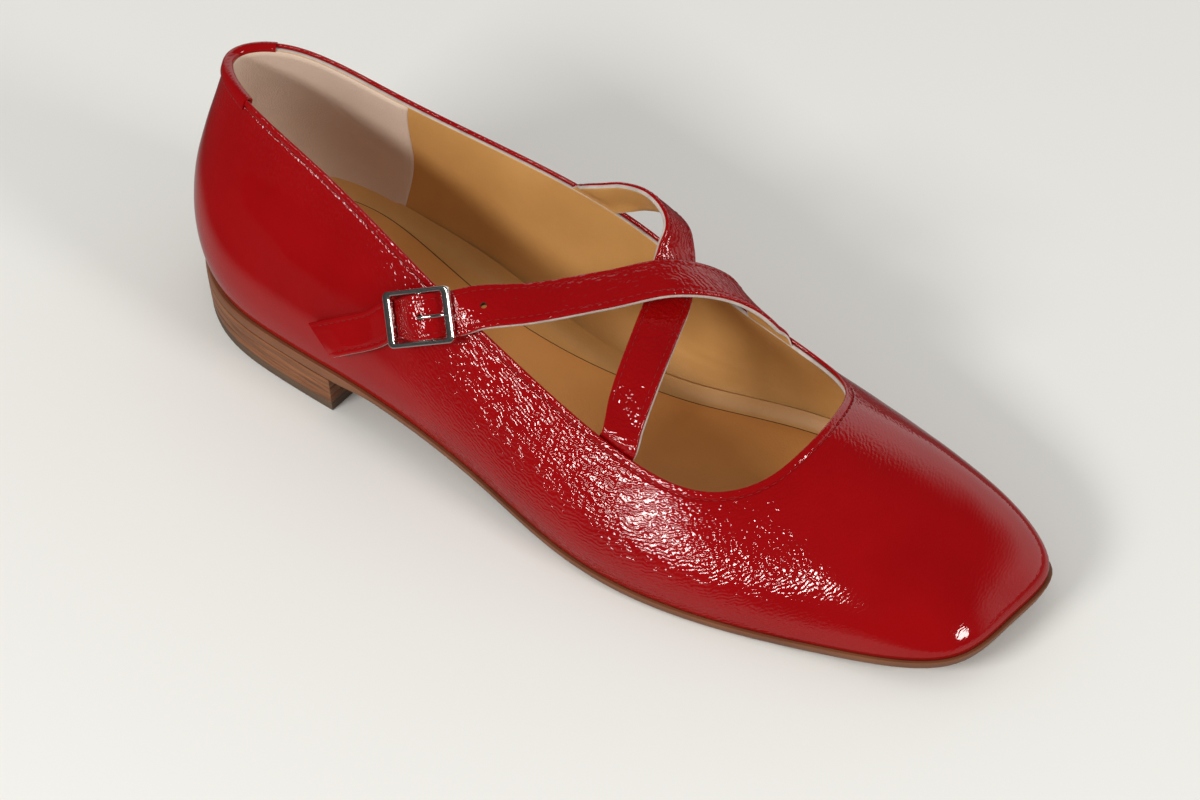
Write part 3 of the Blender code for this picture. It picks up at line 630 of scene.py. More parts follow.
# %% The crinkle's fullness
COUNTER_CALM = 0.06       # nearly smooth on the heel counter
COUNTER_EDGE = 0.8        # but for its top edge
EDGE_FADES = (4, 16)      # which fades out between these distances under the topline
COUNTER_ENDS = (78, 106)  # along the shoe
TOE_CALM = 0.85           # share of the crinkle that the toe loses
TOE_STARTS = (182, 226)
INNER_CALM = 0.55         # and that the inner side of the vamp loses
VAMP_STARTS = (135, 165)
INNER_STARTS = (-5, 15)   # across the shoe


def crinkle_amount(x, y, down):
    """How full the crinkle is: calm over the toe and on the counter, where only the edge keeps it."""
    counter = COUNTER_CALM + COUNTER_EDGE * (1 - soft_step(down, *EDGE_FADES))
    sides = counter + (1 - counter) * soft_step(x, *COUNTER_ENDS)
    inner = INNER_CALM * soft_step(y, *INNER_STARTS) * soft_step(x, *VAMP_STARTS)
    return sides * (1 - TOE_CALM * soft_step(x, *TOE_STARTS)) * (1 - inner)


def paint_crinkle(piece, amount):
    """Stores how full the crinkle is at each point of a piece, for the patent finish."""
    layer = piece.data.attributes.new("crinkle", "FLOAT", "POINT")
    layer.data.foreach_set("value", np.full(len(piece.data.vertices), amount, np.float32))


# %% The outer leather
def rolled_edge(grid, normals, width, radius, sides=7):
    """Points that carry a wall over its rounded top edge, from the outer to the inner face."""
    upward = unit(grid[:, -1] - grid[:, -3])
    arcs = []
    for turn in np.linspace(0, math.pi, sides + 2)[1:-1]:
        inward = normals[:, -1] * width / 2 * (1 - math.cos(turn))
        arcs.append(grid[:, -1] - inward + upward * radius * math.sin(turn))
    return np.stack(arcs, axis=1)


def make_upper():
    tucked = skin.copy()
    tucked[:, 0, 2] -= FEATHER_TUCK
    edge = rolled_edge(skin, skin_normals, LEATHER_THICK, FOLD_ROLL)
    back = skin - skin_normals * LEATHER_THICK
    behind = back[:, LEATHER_BACK]
    behind[:, -1, 2] = tucked[:, 0, 2]
    section = np.concatenate([tucked, edge, behind], axis=1)
    piece = make_piece("upper_leather", section, grid_faces(*section.shape[:2]), [PATENT])
    down = np.zeros(section.shape[:2])
    down[:, :tucked.shape[1]] = skin_downs
    paint_crinkle(piece, crinkle_amount(section[..., 0], section[..., 1], down).ravel())
    return settle(piece, "patent", "upper")


make_upper()

# %% [markdown]
# The lining is the second layer of the wall. Its top edge is cut raw just under the rolled edge of
# the leather and shows as a thin pale line. Inside, a new lining is never flat: it slackens in soft
# folds over the joint and in a few fine creases just above the insole. A cloth simulation would fold
# it too, but the real one is glued down nearly everywhere, so each fold is given as a line on
# the inner wall, with its own depth and width.

# %% Folds of the lining
INNER_SIDE_FOLDS = (      # from x and z, to x and z, depth and width
    (131.0, 36.0, 143.0, 8.0, 1.15, 6.5),
    (154.0, 34.0, 158.5, 9.0, -0.45, 5.0),
    (168.0, 35.0, 170.5, 14.0, 0.45, 4.0),
    (112.0, 33.0, 122.0, 18.0, 0.40, 5.0),
    (118.0, 15.5, 168.0, 9.5, 0.20, 1.4),
    (126.0, 18.5, 160.0, 12.5, 0.20, 1.3),
    (60.0, 30.0, 92.0, 24.0, 0.40, 6.0),
)


def folds_depth(points):
    """How far the lining stands off its wall where it folds, on the inner side of the shoe."""
    total = np.zeros(points.shape[:-1])
    for from_x, from_z, to_x, to_z, depth, width in INNER_SIDE_FOLDS:
        run = np.array([to_x - from_x, to_z - from_z])
        place = points[..., [0, 2]] - (from_x, from_z)
        share = np.clip(place @ run / (run @ run), 0, 1)
        apart = np.linalg.norm(place - share[..., None] * run, axis=-1)
        total += depth * np.exp(-(apart / width)**2) * bump_at(share, 0.5, 0.5) ** 0.5
    return total * (points[..., 1] > 5)


# %% The lining
LINING_DROP = 0.75        # the raw edge lies this far under the topline
OUTER_DROP = 0.75         # and this much deeper again on the outer side
LINING_DOWNS = (4.5, 3.4, 2.5, 1.8, 1.2, LINING_DROP)
LINING_STEPS = 40
LINING_BACK = [0, 5, 10, 15, 20, 25, 30, 35, -4, -1]    # columns kept on its hidden side


def lining_grids():
    """The wall that the lining hangs on, its normals, and the lining's inner face."""
    face = wall_rows(np.array(LINING_DOWNS), LINING_STEPS)
    deeper = wall_rows(np.array(LINING_DOWNS) + OUTER_DROP, LINING_STEPS)
    share = soft_step(-face[:, -1, 1], -2, 8)[:, None, None]
    face = face * (1 - share) + deeper * share
    normals = grid_normals(face)
    inner = face - normals * UPPER_WALL
    inner = inner - normals * folds_depth(inner)[..., None]
    inner[:, 0, 2] = sole_topside(inner[:, 0, 0]) + GAP
    return face, normals, inner


def make_lining(face, normals, inner):
    outer = face - normals * (LEATHER_THICK + 0.02)
    raw = np.stack([outer[:, -1] * (1 - t) + inner[:, -1] * t for t in (0.25, 0.5, 0.75)], axis=1)
    raw[:, 1] += unit(face[:, -1] - face[:, -3]) * 0.12
    behind = outer[:, LINING_BACK]
    section = np.concatenate([behind, raw, inner[:, ::-1]], axis=1)
    rows, columns = section.shape[:2]
    faces = grid_faces(rows, columns)
    past_edge = np.array([face[0] % columns for face in faces]) - (behind.shape[1] - 1)
    raw_strip = (past_edge >= 0) & (past_edge <= raw.shape[1])
    piece = make_piece("upper_lining", section, faces, [LINING, RAW_EDGE], finish_of_face=raw_strip)
    return settle(piece, "lining")


lining_wall, lining_normals, lining_face = lining_grids()
make_lining(lining_wall, lining_normals, lining_face)

# %% [markdown]
# The heel grip is a piece of suede laid over the lining at the back, to keep the heel from slipping.
# It is skived thin at its front edges, which lean forward as they rise. Cut from a copy of the lining,
# those edges would be jagged. So it is worked out level by level: on each level the places are found
# where the lining meets the grip's front edge, and the level is filled in between them, round the back.

# %% The heel grip
GRIP_TOP = 1.0            # below the topline
GRIP_THICK = 0.5
GRIP_SKIVED = 0.12
GRIP_FOOT = 0.3           # it ends this far above the lining's foot
GRIP_LEVELS = 30
GRIP_ACROSS = 120
GRIP_LOW = (41.0, 19.0)   # x and z of its front edge, low down
GRIP_HIGH = (50.5, 62.0)  # and at the topline
GRIP_BELLY = 1.2          # its front edge bulges forward this much
GRIP_SUNK = 0.1           # its back lies this far behind the lining's face


def grip_front(z):
    """Where the grip's front edge lies along the shoe, by height."""
    rise = (z - GRIP_LOW[1]) / (GRIP_HIGH[1] - GRIP_LOW[1])
    straight = GRIP_LOW[0] + (GRIP_HIGH[0] - GRIP_LOW[0]) * rise
    return straight + GRIP_BELLY * np.sin(math.pi * np.clip(rise, 0, 1)) ** 2


def half_round_the_back(levels, depth):
    """Spoke numbers of the back half, below zero on the inner side, and points before the lining."""
    numbers = np.arange(-SPOKES // 4, SPOKES // 4 + 1)
    points = []
    for spoke in numbers % SPOKES:
        line = lining_face[spoke, ::-1]
        down = running_length(line)
        wanted = GRIP_TOP - LINING_DROP + levels * (down[-1] - GRIP_TOP - GRIP_FOOT)
        points.append(along_line(wanted, down, line - lining_normals[spoke, ::-1] * depth))
    return numbers, np.array(points)


def wrapped_grid(depth_at_middle, depth_at_edge):
    """Grid of the grip's face, from its inner-side front edge round the back to the outer side."""
    levels = np.linspace(0, 1, GRIP_LEVELS)
    across = np.linspace(0, 1, GRIP_ACROSS)
    numbers, plain = half_round_the_back(levels, 0.0)
    thick = half_round_the_back(levels, depth_at_middle)[1]
    thin = half_round_the_back(levels, depth_at_edge)[1]
    middle = len(numbers) // 2
    grid = []
    for level in range(GRIP_LEVELS):
        beyond = plain[:, level, 0] - grip_front(plain[:, level, 2])
        start = np.interp(0, -beyond[:middle + 1], numbers[:middle + 1])
        end = np.interp(0, beyond[middle:], numbers[middle:])
        places = start + (end - start) * across
        share = soft_step(np.minimum(across, 1 - across) * (end - start), 0, 5)[:, None]
        full = along_line(places, numbers, thick[:, level])
        skived = along_line(places, numbers, thin[:, level])
        grid.append(skived + (full - skived) * share)
    return np.stack(grid, axis=1)


def make_slip(name, front, back, finishes):
    """A thin closed sheet between two grids of the same size."""
    rows, columns = front.shape[:2]
    count = rows * columns
    faces = grid_faces(rows, columns, ring=False, tube=False)
    faces += [tuple(count + i for i in reversed(face)) for face in faces]
    border = [i * columns for i in range(rows)]
    border += [(rows - 1) * columns + k for k in range(1, columns)]
    border += [i * columns + columns - 1 for i in reversed(range(rows - 1))]
    border += [k for k in reversed(range(1, columns - 1))]
    for here, there in zip(border, border[1:] + border[:1]):
        faces.append((here, there, count + there, count + here))
    return make_piece(name, np.concatenate([front.reshape(-1, 3), back.reshape(-1, 3)]), faces, finishes)


grip_face = wrapped_grid(GRIP_THICK, GRIP_SKIVED)
grip_back = wrapped_grid(-GRIP_SUNK, -GRIP_SUNK)
settle(make_slip("heel_grip", grip_face, grip_back, [SUEDE]), "lining")

# %% [markdown]
# The closed seam at the back ends under a short strip of the same patent, folded over the topline. A
# curve with a bevel would turn about its path on its way round the heel. So it is a band with a hooked
# section that is set square to the wall at each station, from just past the back on the inner side to
# a little further round on the outer side.

# %% The back binding
BINDING_FROM = -0.0385    # share of the way round, counted from the middle of the back
BINDING_TO = 0.0577
BINDING_STATIONS = 72
BINDING_CRINKLE = 0.4
BINDING_SECTION = (       # out from the wall's face, down from the topline
    (0.20, 2.95), (0.62, 2.90), (0.74, 2.70), (0.76, 2.0), (0.76, 1.1), (0.66, 0.45), (0.35, 0.02),
    (-0.15, -0.25), (-0.85, -0.36), (-1.55, -0.25), (-2.05, 0.05), (-2.25, 0.6), (-2.28, 1.6),
    (-2.22, 2.25), (-1.80, 2.35), (-1.75, 1.0), (-1.5, 0.25), (-0.8, 0.05), (-0.1, 0.15), (0.15, 0.7),
    (0.2, 1.8),
)


def make_binding():
    rows = []
    for share in np.linspace(BINDING_FROM, BINDING_TO, BINDING_STATIONS):
        top, normal = spoke_at(share, 0.0)
        downward = unit(spoke_at(share, 3.0)[0] - top)
        rows.append([top + normal * out + downward * down for out, down in BINDING_SECTION])
    faces = bar_faces(len(rows), len(BINDING_SECTION))
    piece = make_piece("back_binding", rows, faces, [PATENT], sharp_above=60)
    paint_crinkle(piece, BINDING_CRINKLE)
    return settle(piece, "patent")


make_binding()

# %% [markdown]
# ## Stitches
# A row of stitches is one short thread repeated at an even pitch along a path, which is what Geometry
# Nodes do well. The tree below takes a path, spaces points along it, puts a slim rounded thread at
# each point, turned to run with the path, and makes the result real. It has inputs for the pitch, the
# stitch's length and the thread's width, so the topline and the straps use the same tree.

# %% The stitch tree
def stitch_tree():
    tree = bpy.data.node_groups.new("Row of stitches", "GeometryNodeTree")
    sockets = tree.interface
    sockets.new_socket("Path", in_out="INPUT", socket_type="NodeSocketGeometry")
    for label, value in (("Pitch", 0.0022), ("Stitch length", 0.0017), ("Thread width", 0.00036)):
        sockets.new_socket(label, in_out="INPUT", socket_type=NUMBER).default_value = value
    sockets.new_socket("Thread", in_out="INPUT", socket_type="NodeSocketMaterial")
    sockets.new_socket("Stitches", in_out="OUTPUT", socket_type="NodeSocketGeometry")
    given = tree.nodes.new("NodeGroupInput").outputs
    width = given["Thread width"]
    curve = add_node(tree, "GeometryNodeMeshToCurve", {"Mesh": given["Path"]}).outputs["Curve"]
    spaced = add_node(tree, "GeometryNodeResampleCurve", {"Curve": curve, "Length": given["Pitch"]},
                      mode="LENGTH")
    tangent = add_node(tree, "GeometryNodeInputTangent").outputs["Tangent"]
    turned = add_node(tree, "FunctionNodeAlignRotationToVector", {"Vector": tangent}, axis="X")
    ball = add_node(tree, "GeometryNodeMeshUVSphere", {"Segments": 8, "Rings": 6, "Radius": 0.5})
    size = add_node(tree, "ShaderNodeCombineXYZ", {"X": given["Stitch length"], "Y": width, "Z": width})
    shaped = add_node(tree, "GeometryNodeTransform", {"Geometry": ball.outputs["Mesh"],
                                                      "Scale": size.outputs["Vector"]})
    placed = add_node(tree, "GeometryNodeInstanceOnPoints",
                      {"Points": spaced.outputs["Curve"], "Instance": shaped.outputs["Geometry"],
                       "Rotation": turned.outputs["Rotation"]})
    real = add_node(tree, "GeometryNodeRealizeInstances", {"Geometry": placed.outputs["Instances"]})
    smooth = add_node(tree, "GeometryNodeSetShadeSmooth", {"Geometry": real.outputs["Geometry"]})
    coloured = add_node(tree, "GeometryNodeSetMaterial", {"Geometry": smooth.outputs["Geometry"],
                                                          "Material": given["Thread"]})
    tree.links.new(coloured.outputs["Geometry"], tree.nodes.new("NodeGroupOutput").inputs["Stitches"])
    return tree


STITCHES = stitch_tree()


def make_stitches(name, paths, thread, **sizes):
    """Rows of stitches along paths, as one plain mesh; sizes are the tree's inputs in metres."""
    points = []
    edges = []
    for path in paths:
        start = len(points)
        points += ((np.asarray(path) - (ORIGIN_X, 0, 0)) * MM).tolist()
        edges += [(i, i + 1) for i in range(start, len(points) - 1)]
    mesh = bpy.data.meshes.new(name)
    mesh.from_pydata(points, edges, [])
    carrier = show("stitch path", mesh)
    modifier = carrier.modifiers.new("Stitches", "NODES")
    modifier.node_group = STITCHES
    wanted = {"Thread": thread, **{label.replace("_", " "): value for label, value in sizes.items()}}
    for item in STITCHES.interface.items_tree:
        if item.in_out == "INPUT" and item.name in wanted:
            modifier[item.identifier] = wanted[item.name]
    return settle(as_plain_mesh(carrier, name), "patent")


# %% The topline's stitches
TOPLINE_SAMPLES = 900
CLEAR_OF_BINDING = 0.001  # as a share of the way round

stitched_shares = np.linspace(BINDING_TO + CLEAR_OF_BINDING, 1 + BINDING_FROM - CLEAR_OF_BINDING,
                              TOPLINE_SAMPLES)
topline_path = [spoke_at(share, EDGE_BAND, 0.10)[0] for share in stitched_shares]
make_stitches("topline_stitches", [topline_path], RED_THREAD)

# %% [markdown]
# ## Soles and insole
# The soles, the insole and the heel are slices with one outline, the feather line moved in or out.
# An extruded outline with a bevel would have the same edge everywhere. So each is made as a ring of
# loops that follows its edge from the underside round to the top, where it can be rounded, grooved or
# rolled, and two caps that fill the faces in rows from the heel to the toe.

# %% Slices
OUTLINE_STEP = 4          # every fourth spoke gives a point of an outline
ACROSS = 20               # faces across a cap


def outline(out_by):
    """The feather line moved outward, thinned to what a sole needs."""
    moved = FEATHER + outward(FEATHER) * np.asarray(out_by, float).reshape(-1, 1)
    return moved[::OUTLINE_STEP]


def at_heights(flat, heights):
    return np.column_stack([flat, np.broadcast_to(heights, len(flat))])


def cap(points, loop_start, count, rows, height, front_row=None):
    """Adds a cap inside one loop and returns its faces; rows is how far its pairs of points go."""
    lines = [[loop_start]]
    for i in range(1, rows + 1):
        here = loop_start + i
        there = loop_start + count - i
        if i == rows and front_row is not None:
            lines.append(front_row)
        elif here == there:
            lines.append([here])
        else:
            first = np.array(points[here][:2])
            last = np.array(points[there][:2])
            line = [here]
            for k in range(1, ACROSS):
                x, y = first + (last - first) * k / ACROSS
                line.append(len(points))
                points.append((x, y, float(height(x))))
            lines.append(line + [there])
    faces = []
    for back, front in zip(lines[:-1], lines[1:]):
        for k in range(ACROSS):
            ring = [back[min(k, len(back) - 1)], back[min(k + 1, len(back) - 1)],
                    front[min(k + 1, len(front) - 1)], front[min(k, len(front) - 1)]]
            corners = tuple(dict.fromkeys(ring))
            if len(corners) > 2:
                faces.append(corners)
    return faces


def make_slice(name, loops, low, high, finishes, edge_finish=0, breast=False, sharp_above=40):
    """A slice of the shoe: loops round its edge, and caps at heights low(x) and high(x).

    With a breast, the last ACROSS - 1 points before each loop's halfway are its straight front.
    """
    count = len(loops[0])
    points = [tuple(p) for loop in loops for p in loop]
    faces = grid_faces(len(loops), count, ring=False)
    finish = [edge_finish] * len(faces)
    rows = (count - ACROSS + 2) // 2 - 1 if breast else count // 2
    for number, height in ((0, low), (len(loops) - 1, high)):
        start = number * count
        front = [start + rows + k for k in range(ACROSS + 1)] if breast else None
        added = cap(points, start, count, rows, height, front)
        faces += added
        finish += [0] * len(added)
    return make_piece(name, points, faces, finishes, sharp_above=sharp_above, finish_of_face=finish)


# %% [markdown]
# The insole carries the foot. Its edge curls up a little into the lining all round, as a lasted shoe's
# does. The golden sock glued on top has its own outline: it keeps clear of the wall by a couple of
# millimetres, and by much more at the inner side of the waist, where the wall is steepest.

# %% The insole
INSOLE_SUNK = 0.5         # the insole's face lies this far under the sock's
INSOLE_CURL = 3.2         # its edge curls up over this width
INSOLE_LIP = 2.4          # by this much where it meets the lining
TOE_LIP = 0.6             # but hardly at all in the toe, where the upper leans in over it
TOE_LIP_RUN = (175, 215)
INSOLE_TUCK = 0.9         # and runs on this far behind the lining's face


def insole_foot(x):
    return sole_topside(x) + GAP


def insole_face(x):
    return insole_foot(x) + INSOLE_THICK - INSOLE_SUNK


insole_edge = outline(INSOLE_TUCK - UPPER_WALL - GAP)
insole_loops = [at_heights(insole_edge, insole_foot(insole_edge[:, 0]))]
for inset in (-INSOLE_TUCK, -0.4, 0.0, 0.5, 1.1, 1.8, INSOLE_CURL):
    moved = outline(-(UPPER_WALL + GAP) - inset)
    lip = INSOLE_LIP + (TOE_LIP - INSOLE_LIP) * soft_step(moved[:, 0], *TOE_LIP_RUN)
    curl = lip * (1 - inset / INSOLE_CURL) ** 2
    insole_loops.append(at_heights(moved, insole_face(moved[:, 0]) + curl))
insole = make_slice("insole_board", insole_loops, insole_foot, insole_face, [LINING], sharp_above=60)
settle(insole, "lining", "insole")

# %% The sock
SOCK_MARGIN = 2.2
SOCK_WAIST = 6.0          # the sock is narrower by this at the inner waist
SOCK_WAIST_AT = 82.0
SOCK_WAIST_REACH = 50.0
SOCK_PROUD = 0.12
SOCK_ROOT = 0.3           # it reaches this far down into the insole


def sock_outline(inset):
    inner_side = np.arange(SPOKES) > SPOKES / 2
    waist = SOCK_WAIST * bump_at(FEATHER[:, 0], SOCK_WAIST_AT, SOCK_WAIST_REACH) * inner_side
    return outline(-(UPPER_WALL + GAP + SOCK_MARGIN + inset + waist))


sock_loops = []
for inset, rise in ((0.0, -SOCK_ROOT), (0.0, INSOLE_SUNK - 0.15), (0.12, INSOLE_SUNK),
                    (0.5, INSOLE_SUNK + SOCK_PROUD)):
    flat = sock_outline(inset)
    sock_loops.append(at_heights(flat, insole_face(flat[:, 0]) + rise))
# The sock's edge faces take the dark edge colour: a dyed edge with the seam's shade painted in.
sock = make_slice("insole_sock", sock_loops, lambda x: insole_face(x) - SOCK_ROOT,
                  lambda x: insole_face(x) + INSOLE_SUNK + SOCK_PROUD, [SOCK, EDGE_DYE_AND_SHADE], edge_finish=1)
settle(sock, "lining")

# %% The outsole
SOLE_SECTION = (          # out from the sole's edge, up from its underside
    (-2.2, 0.0), (-0.6, 0.02), (-0.22, 0.16), (0.0, 0.55), (0.05, 1.2), (0.02, 2.1), (-0.1, 2.7),
    (-0.35, 2.97), (-0.9, 3.0), (-3.4, 3.0),
)
SOLE_UNDERCUT = 0.45      # its edge leans in toward the ground, so it looks thinner than it is
NICKS = (205.0, 217.0)    # small knocks on the outer edge, by distance along the shoe
NICK_DEPTH = 0.35
NICK_REACH = 1.3


def nick_depth(flat):
    """How far knocks push the edge in, along an outline."""
    near = sum(np.exp(-((flat[:, 0] - x) / NICK_REACH)**2) for x in NICKS)
    return NICK_DEPTH * near * (flat[:, 1] < 0)


leaning = SOLE_UNDERCUT * soft_step(FEATHER[:, 0], HEEL_BREAST, HEEL_BREAST + 15)
sole_loops = []
for out_by, up in SOLE_SECTION:
    flat = outline(SOLE_MARGIN + out_by - (SOLE_THICK - up) * leaning)
    flat = flat - outward(flat) * (nick_depth(flat) * (0.3 < up < 2.9))[:, None]
    sole_loops.append(at_heights(flat, sole_underside(flat[:, 0]) + up))
outsole = make_slice("outsole_leather", sole_loops, sole_underside, sole_topside, [SOLE_LEATHER])
settle(outsole, "sole", "outsole")

# %% [markdown]
# The heel is built up from leather lifts, glued and trimmed flush, so fine lines run round it where
# one lift meets the next. They could be drawn in the finish alone, but they catch the light, so each
# lift has levels of its own. The heel's front, the breast, is cut straight across. The top piece under
# it is the part that wears, a single darker lift.

# %% The heel
LIFT_SEAM = 0.10          # depth of the line between two lifts
LIFTS = 3
HEEL_LOW = TOP_PIECE_THICK
HEEL_HIGH = HEEL_RISE + 0.05
HEEL_SIDE = 60            # points down each side of the heel's outline


def heel_outline(z, inset):
    """Outline of the heel at a height: round the back, and straight across the breast."""
    loop = outline(SOLE_MARGIN - HEEL_TAPER * (1 - z / HEEL_RISE) - inset)
    half = len(loop) // 2
    sides = []
    for edge in (loop[:half + 1], np.concatenate([loop[:1], loop[:half - 1:-1]])):
        behind = edge[edge[:, 0] < HEEL_BREAST - inset]
        beyond = edge[len(behind)]
        share = (HEEL_BREAST - inset - behind[-1, 0]) / (beyond[0] - behind[-1, 0])
        whole = np.concatenate([behind, [behind[-1] + (beyond - behind[-1]) * share]])
        distance = running_length(whole)
        sides.append(along_line(np.linspace(0, distance[-1], HEEL_SIDE), distance, whole))
    outer, inner = sides
    front = [outer[-1] + (inner[-1] - outer[-1]) * k / ACROSS for k in range(1, ACROSS)]
    return np.concatenate([outer, front, inner[:0:-1]])


def make_heel_part(name, levels, finish):
    """A part of the heel, from its levels: the height of each, and how far in it lies."""
    loops = [at_heights(heel_outline(z, inset), z) for z, inset in levels]
    return make_slice(name, loops, lambda x: levels[0][0], lambda x: levels[-1][0], [finish], breast=True)


stack_levels = [(HEEL_LOW + 0.02, 0.5), (HEEL_LOW + 0.05, 0.1)]
lift = (HEEL_HIGH - HEEL_LOW) / LIFTS
for number in range(LIFTS):
    base = HEEL_LOW + number * lift
    stack_levels += [(base + 0.2, 0.0), (base + lift / 2, -0.03), (base + lift - 0.16, 0.0),
                     (base + lift - 0.03, LIFT_SEAM)]
stack_levels.append((HEEL_HIGH, 0.6))
settle(make_heel_part("heel_stack", stack_levels, STACK), "stack", "heel_block")

piece_levels = [(0.0, 0.35), (0.12, 0.06), (0.4, 0.0), (TOP_PIECE_THICK - 0.25, 0.0),
                (TOP_PIECE_THICK - 0.03, 0.12), (TOP_PIECE_THICK + 0.01, 0.5)]
settle(make_heel_part("heel_top_piece_worn", piece_levels, RUBBER), "top_piece", "heel_top_piece")

# %% [markdown]
# ## Straps
# Each strap is two layers, red patent over tan lining, so the pale raw edge of the lining shows along
# its side. A flat strip on a Curve modifier would follow a path too, but it could not lie on the wall
# or go into it. So a strap is drawn as rows: where its middle runs and which way its red face looks.
# The rows through the air are the frame's. At their roots the straps are skived thin and caught between
# leather and lining, and the buckled end is laid on the wall and woven through the buckle's frame.

# %% Sizes of the straps
STRAP_WIDTH = 11.6
STRAP_THICK = 1.8
STRAP_PLAY = 0.4
TAIL_SKEW = 7.0           # the tail's end is cut on a slant
TAIL_SKEW_RUN = 12.0
TAIL_WIDTH = 9.9          # the tail is cut a little narrower, to thread the buckle
TAIL_NARROWED = 31.0
NARROWING = 8.0
STRAP_STEP = 0.45         # mm between sections along a strap
SKIVED = 0.35             # a strap's thickness at its root, as a share
SKIVE_RUN = 4.0           # it is full again this high over the topline
ROOT_REACH = 34.0         # a root is laid in the wall within this distance of its end
HELD_RUN = 4.5            # it is free of the wall this high over the topline
ROOT_SLIDE = 0.7          # on the outer side it slides forward by this share of its shift
ROOT_DEPTH = 0.35         # behind the leather's back
STRAP_GROOVE = 0.06
STRAP_STITCH_INSET = 1.5
STRAP_STITCH_LIFT = 0.86  # the thread's middle over the strap's
FINE_POINTS = 2400        # points along a strap before it is cut in even sections
SMOOTHINGS = 6            # rounds that even out those sections

CROSS_ROOT = ((91.5, 45.0), (99.2, 48.0))    # x and z on the wall
CROSS_STRAP = (           # x, y, z, and the facing in degrees from straight up toward the inner side
    (106.5, 26.6, 54.6, 66),
    (113.8, 28.6, 58.0, 62),
    (123.5, 28.4, 60.6, 56),
    (132.0, 24.6, 60.0, 50),
    (135.8, 18.8, 56.0, 40),
    (138.4, 13.6, 52.8, 30),
    (141.0, 8.5, 51.0, 22),
    (144.5, -1.2, 49.6, 6),
    (148.2, -14.2, 44.8, -24),
    (150.3, -24.0, 36.5, -74),
)
CROSS_END = ((151.4, 28.5),)
BUCKLE_ROOT = ((162.0, 28.5), (159.3, 35.4))
BUCKLE_STRAP = (
    (151.8, 21.7, 50.6, 8),
    (141.4, 10.3, 57.4, -10),
    (128.9, -1.4, 55.0, -14),
    (115.0, -13.8, 52.2, -20),
    (104.8, -22.2, 51.4, -36),
)
WEAVE = (-10.2, -7.6, -5.0, -2.5, 0.0, 2.5, 5.0, 7.6, 10.2)
TAIL = ((16.5, 2.2, 4), (27.0, 3.5, 13), (38.2, 5.1, 15))    # along the tail, down across it, its tilt

# %% Sizes of the buckle
BUCKLE_PLACE = (91.4, 44.4)
BUCKLE_SLOPE = 30.5
BUCKLE_TILT = 4.0
BUCKLE_RAISED = 0.2
BUCKLE_LENGTH = 20.0
BUCKLE_HEIGHT = 14.6
BUCKLE_REST = 5.0
SIDE_BAR = 2.2
RAIL = 1.3
FRAME_THICK = 1.8
FRAME_CORNER = 1.6
BAR_RADIUS = 0.6
BAR_SUNK = 0.35
PRONG_RADIUS = 0.45
PRONG_PLAY = 0.2
TAB_WIDTH = 8.0
TAB_THICK = 0.7
TAB_LENGTH = 4.2
TAB_PLAY = 0.25
TAB_SLOT = 1.8
TAB_CRINKLE = 0.3
WALL_SWELL = 0.8
HUMP_REACH = 8.0
HUMP_BREADTH = 1.25
STRAP_LIFT = GAP + STRAP_THICK / 2
FRAME_LOW = WALL_SWELL + STRAP_LIFT + STRAP_THICK / 2 + GAP
FRAME_HIGH = FRAME_LOW + FRAME_THICK
BAR_LIFT = FRAME_LOW - BAR_SUNK
HUMP_LIFT = BAR_LIFT + BAR_RADIUS + TAB_PLAY + TAB_THICK + STRAP_LIFT
PRONG_EYE = BAR_RADIUS + PRONG_PLAY + PRONG_RADIUS    # radius of the prong's hook, to its middle


# %% Laying straps on the walls
def surface_tree(grid):
    """A search tree over a wall, thinned, for laying other pieces on it."""
    thin = grid[::4, ::4]
    faces = grid_faces(*thin.shape[:2], tube=False)
    return BVHTree.FromPolygons([Vector(p) for p in thin.reshape(-1, 3)], faces)


OUTER_WALL = surface_tree(WALL)
MIDDLE_WALL = surface_tree(WALL - WALL_NORMALS * (LEATHER_THICK + ROOT_DEPTH))


def lay_on(tree, x, z, side, lift):
    """Point lifted off a wall at (x, z), and its normal; side is -1 outer, +1 inner.

    A height over the topline comes down until the wall on that side is met.
    """
    hit = None
    while hit is None or hit.y * side < 0:
        hit, normal = tree.ray_cast(Vector((x, side * 200.0, z)), Vector((0, -side, 0)))[:2]
        z -= 0.2
    if normal.y * side < 0:
        normal = -normal
    return np.array(hit + normal * lift), np.array(normal)


def free_rows(table):
    """Rows of a strap through the air."""
    turns = [math.radians(row[3]) for row in table]
    return [np.array([*row[:3], 0.0, math.sin(t), math.cos(t)]) for row, t in zip(table, turns)]


def root_rows(places, side):
    """Rows of a strap's root, between leather and lining."""
    return [np.concatenate(lay_on(MIDDLE_WALL, x, z, side, 0.0)) for x, z in places]


def buckle_place():
    """Matrix of the buckle's foot, in millimetres: it lies on the wall as a plate would."""
    x, z = BUCKLE_PLACE
    foot, normal = lay_on(OUTER_WALL, x, z, -1, GAP / 100)
    slope = math.radians(BUCKLE_SLOPE)
    along = np.array([-math.cos(slope), 0.0, -math.sin(slope)])
    touched = []
    for u in (-BUCKLE_REST, 0.0, BUCKLE_REST):
        for w in (-BUCKLE_REST, 0.0, BUCKLE_REST):
            spot = np.array([x, 0.0, z]) + along * u + np.array([-along[2], 0.0, along[0]]) * w
            touched.append(lay_on(OUTER_WALL, spot[0], spot[2], -1, 0.0)[1])
    normal = unit(np.mean(touched, axis=0))
    along = unit(along - normal * along.dot(normal))
    tilt = math.radians(BUCKLE_TILT)
    normal = normal * math.cos(tilt) - np.cross(normal, along) * math.sin(tilt)
    place = Matrix((along, np.cross(normal, along), normal)).transposed().to_4x4()
    place.translation = Vector(foot + normal * BUCKLE_RAISED)
    return place


BUCKLE = buckle_place()


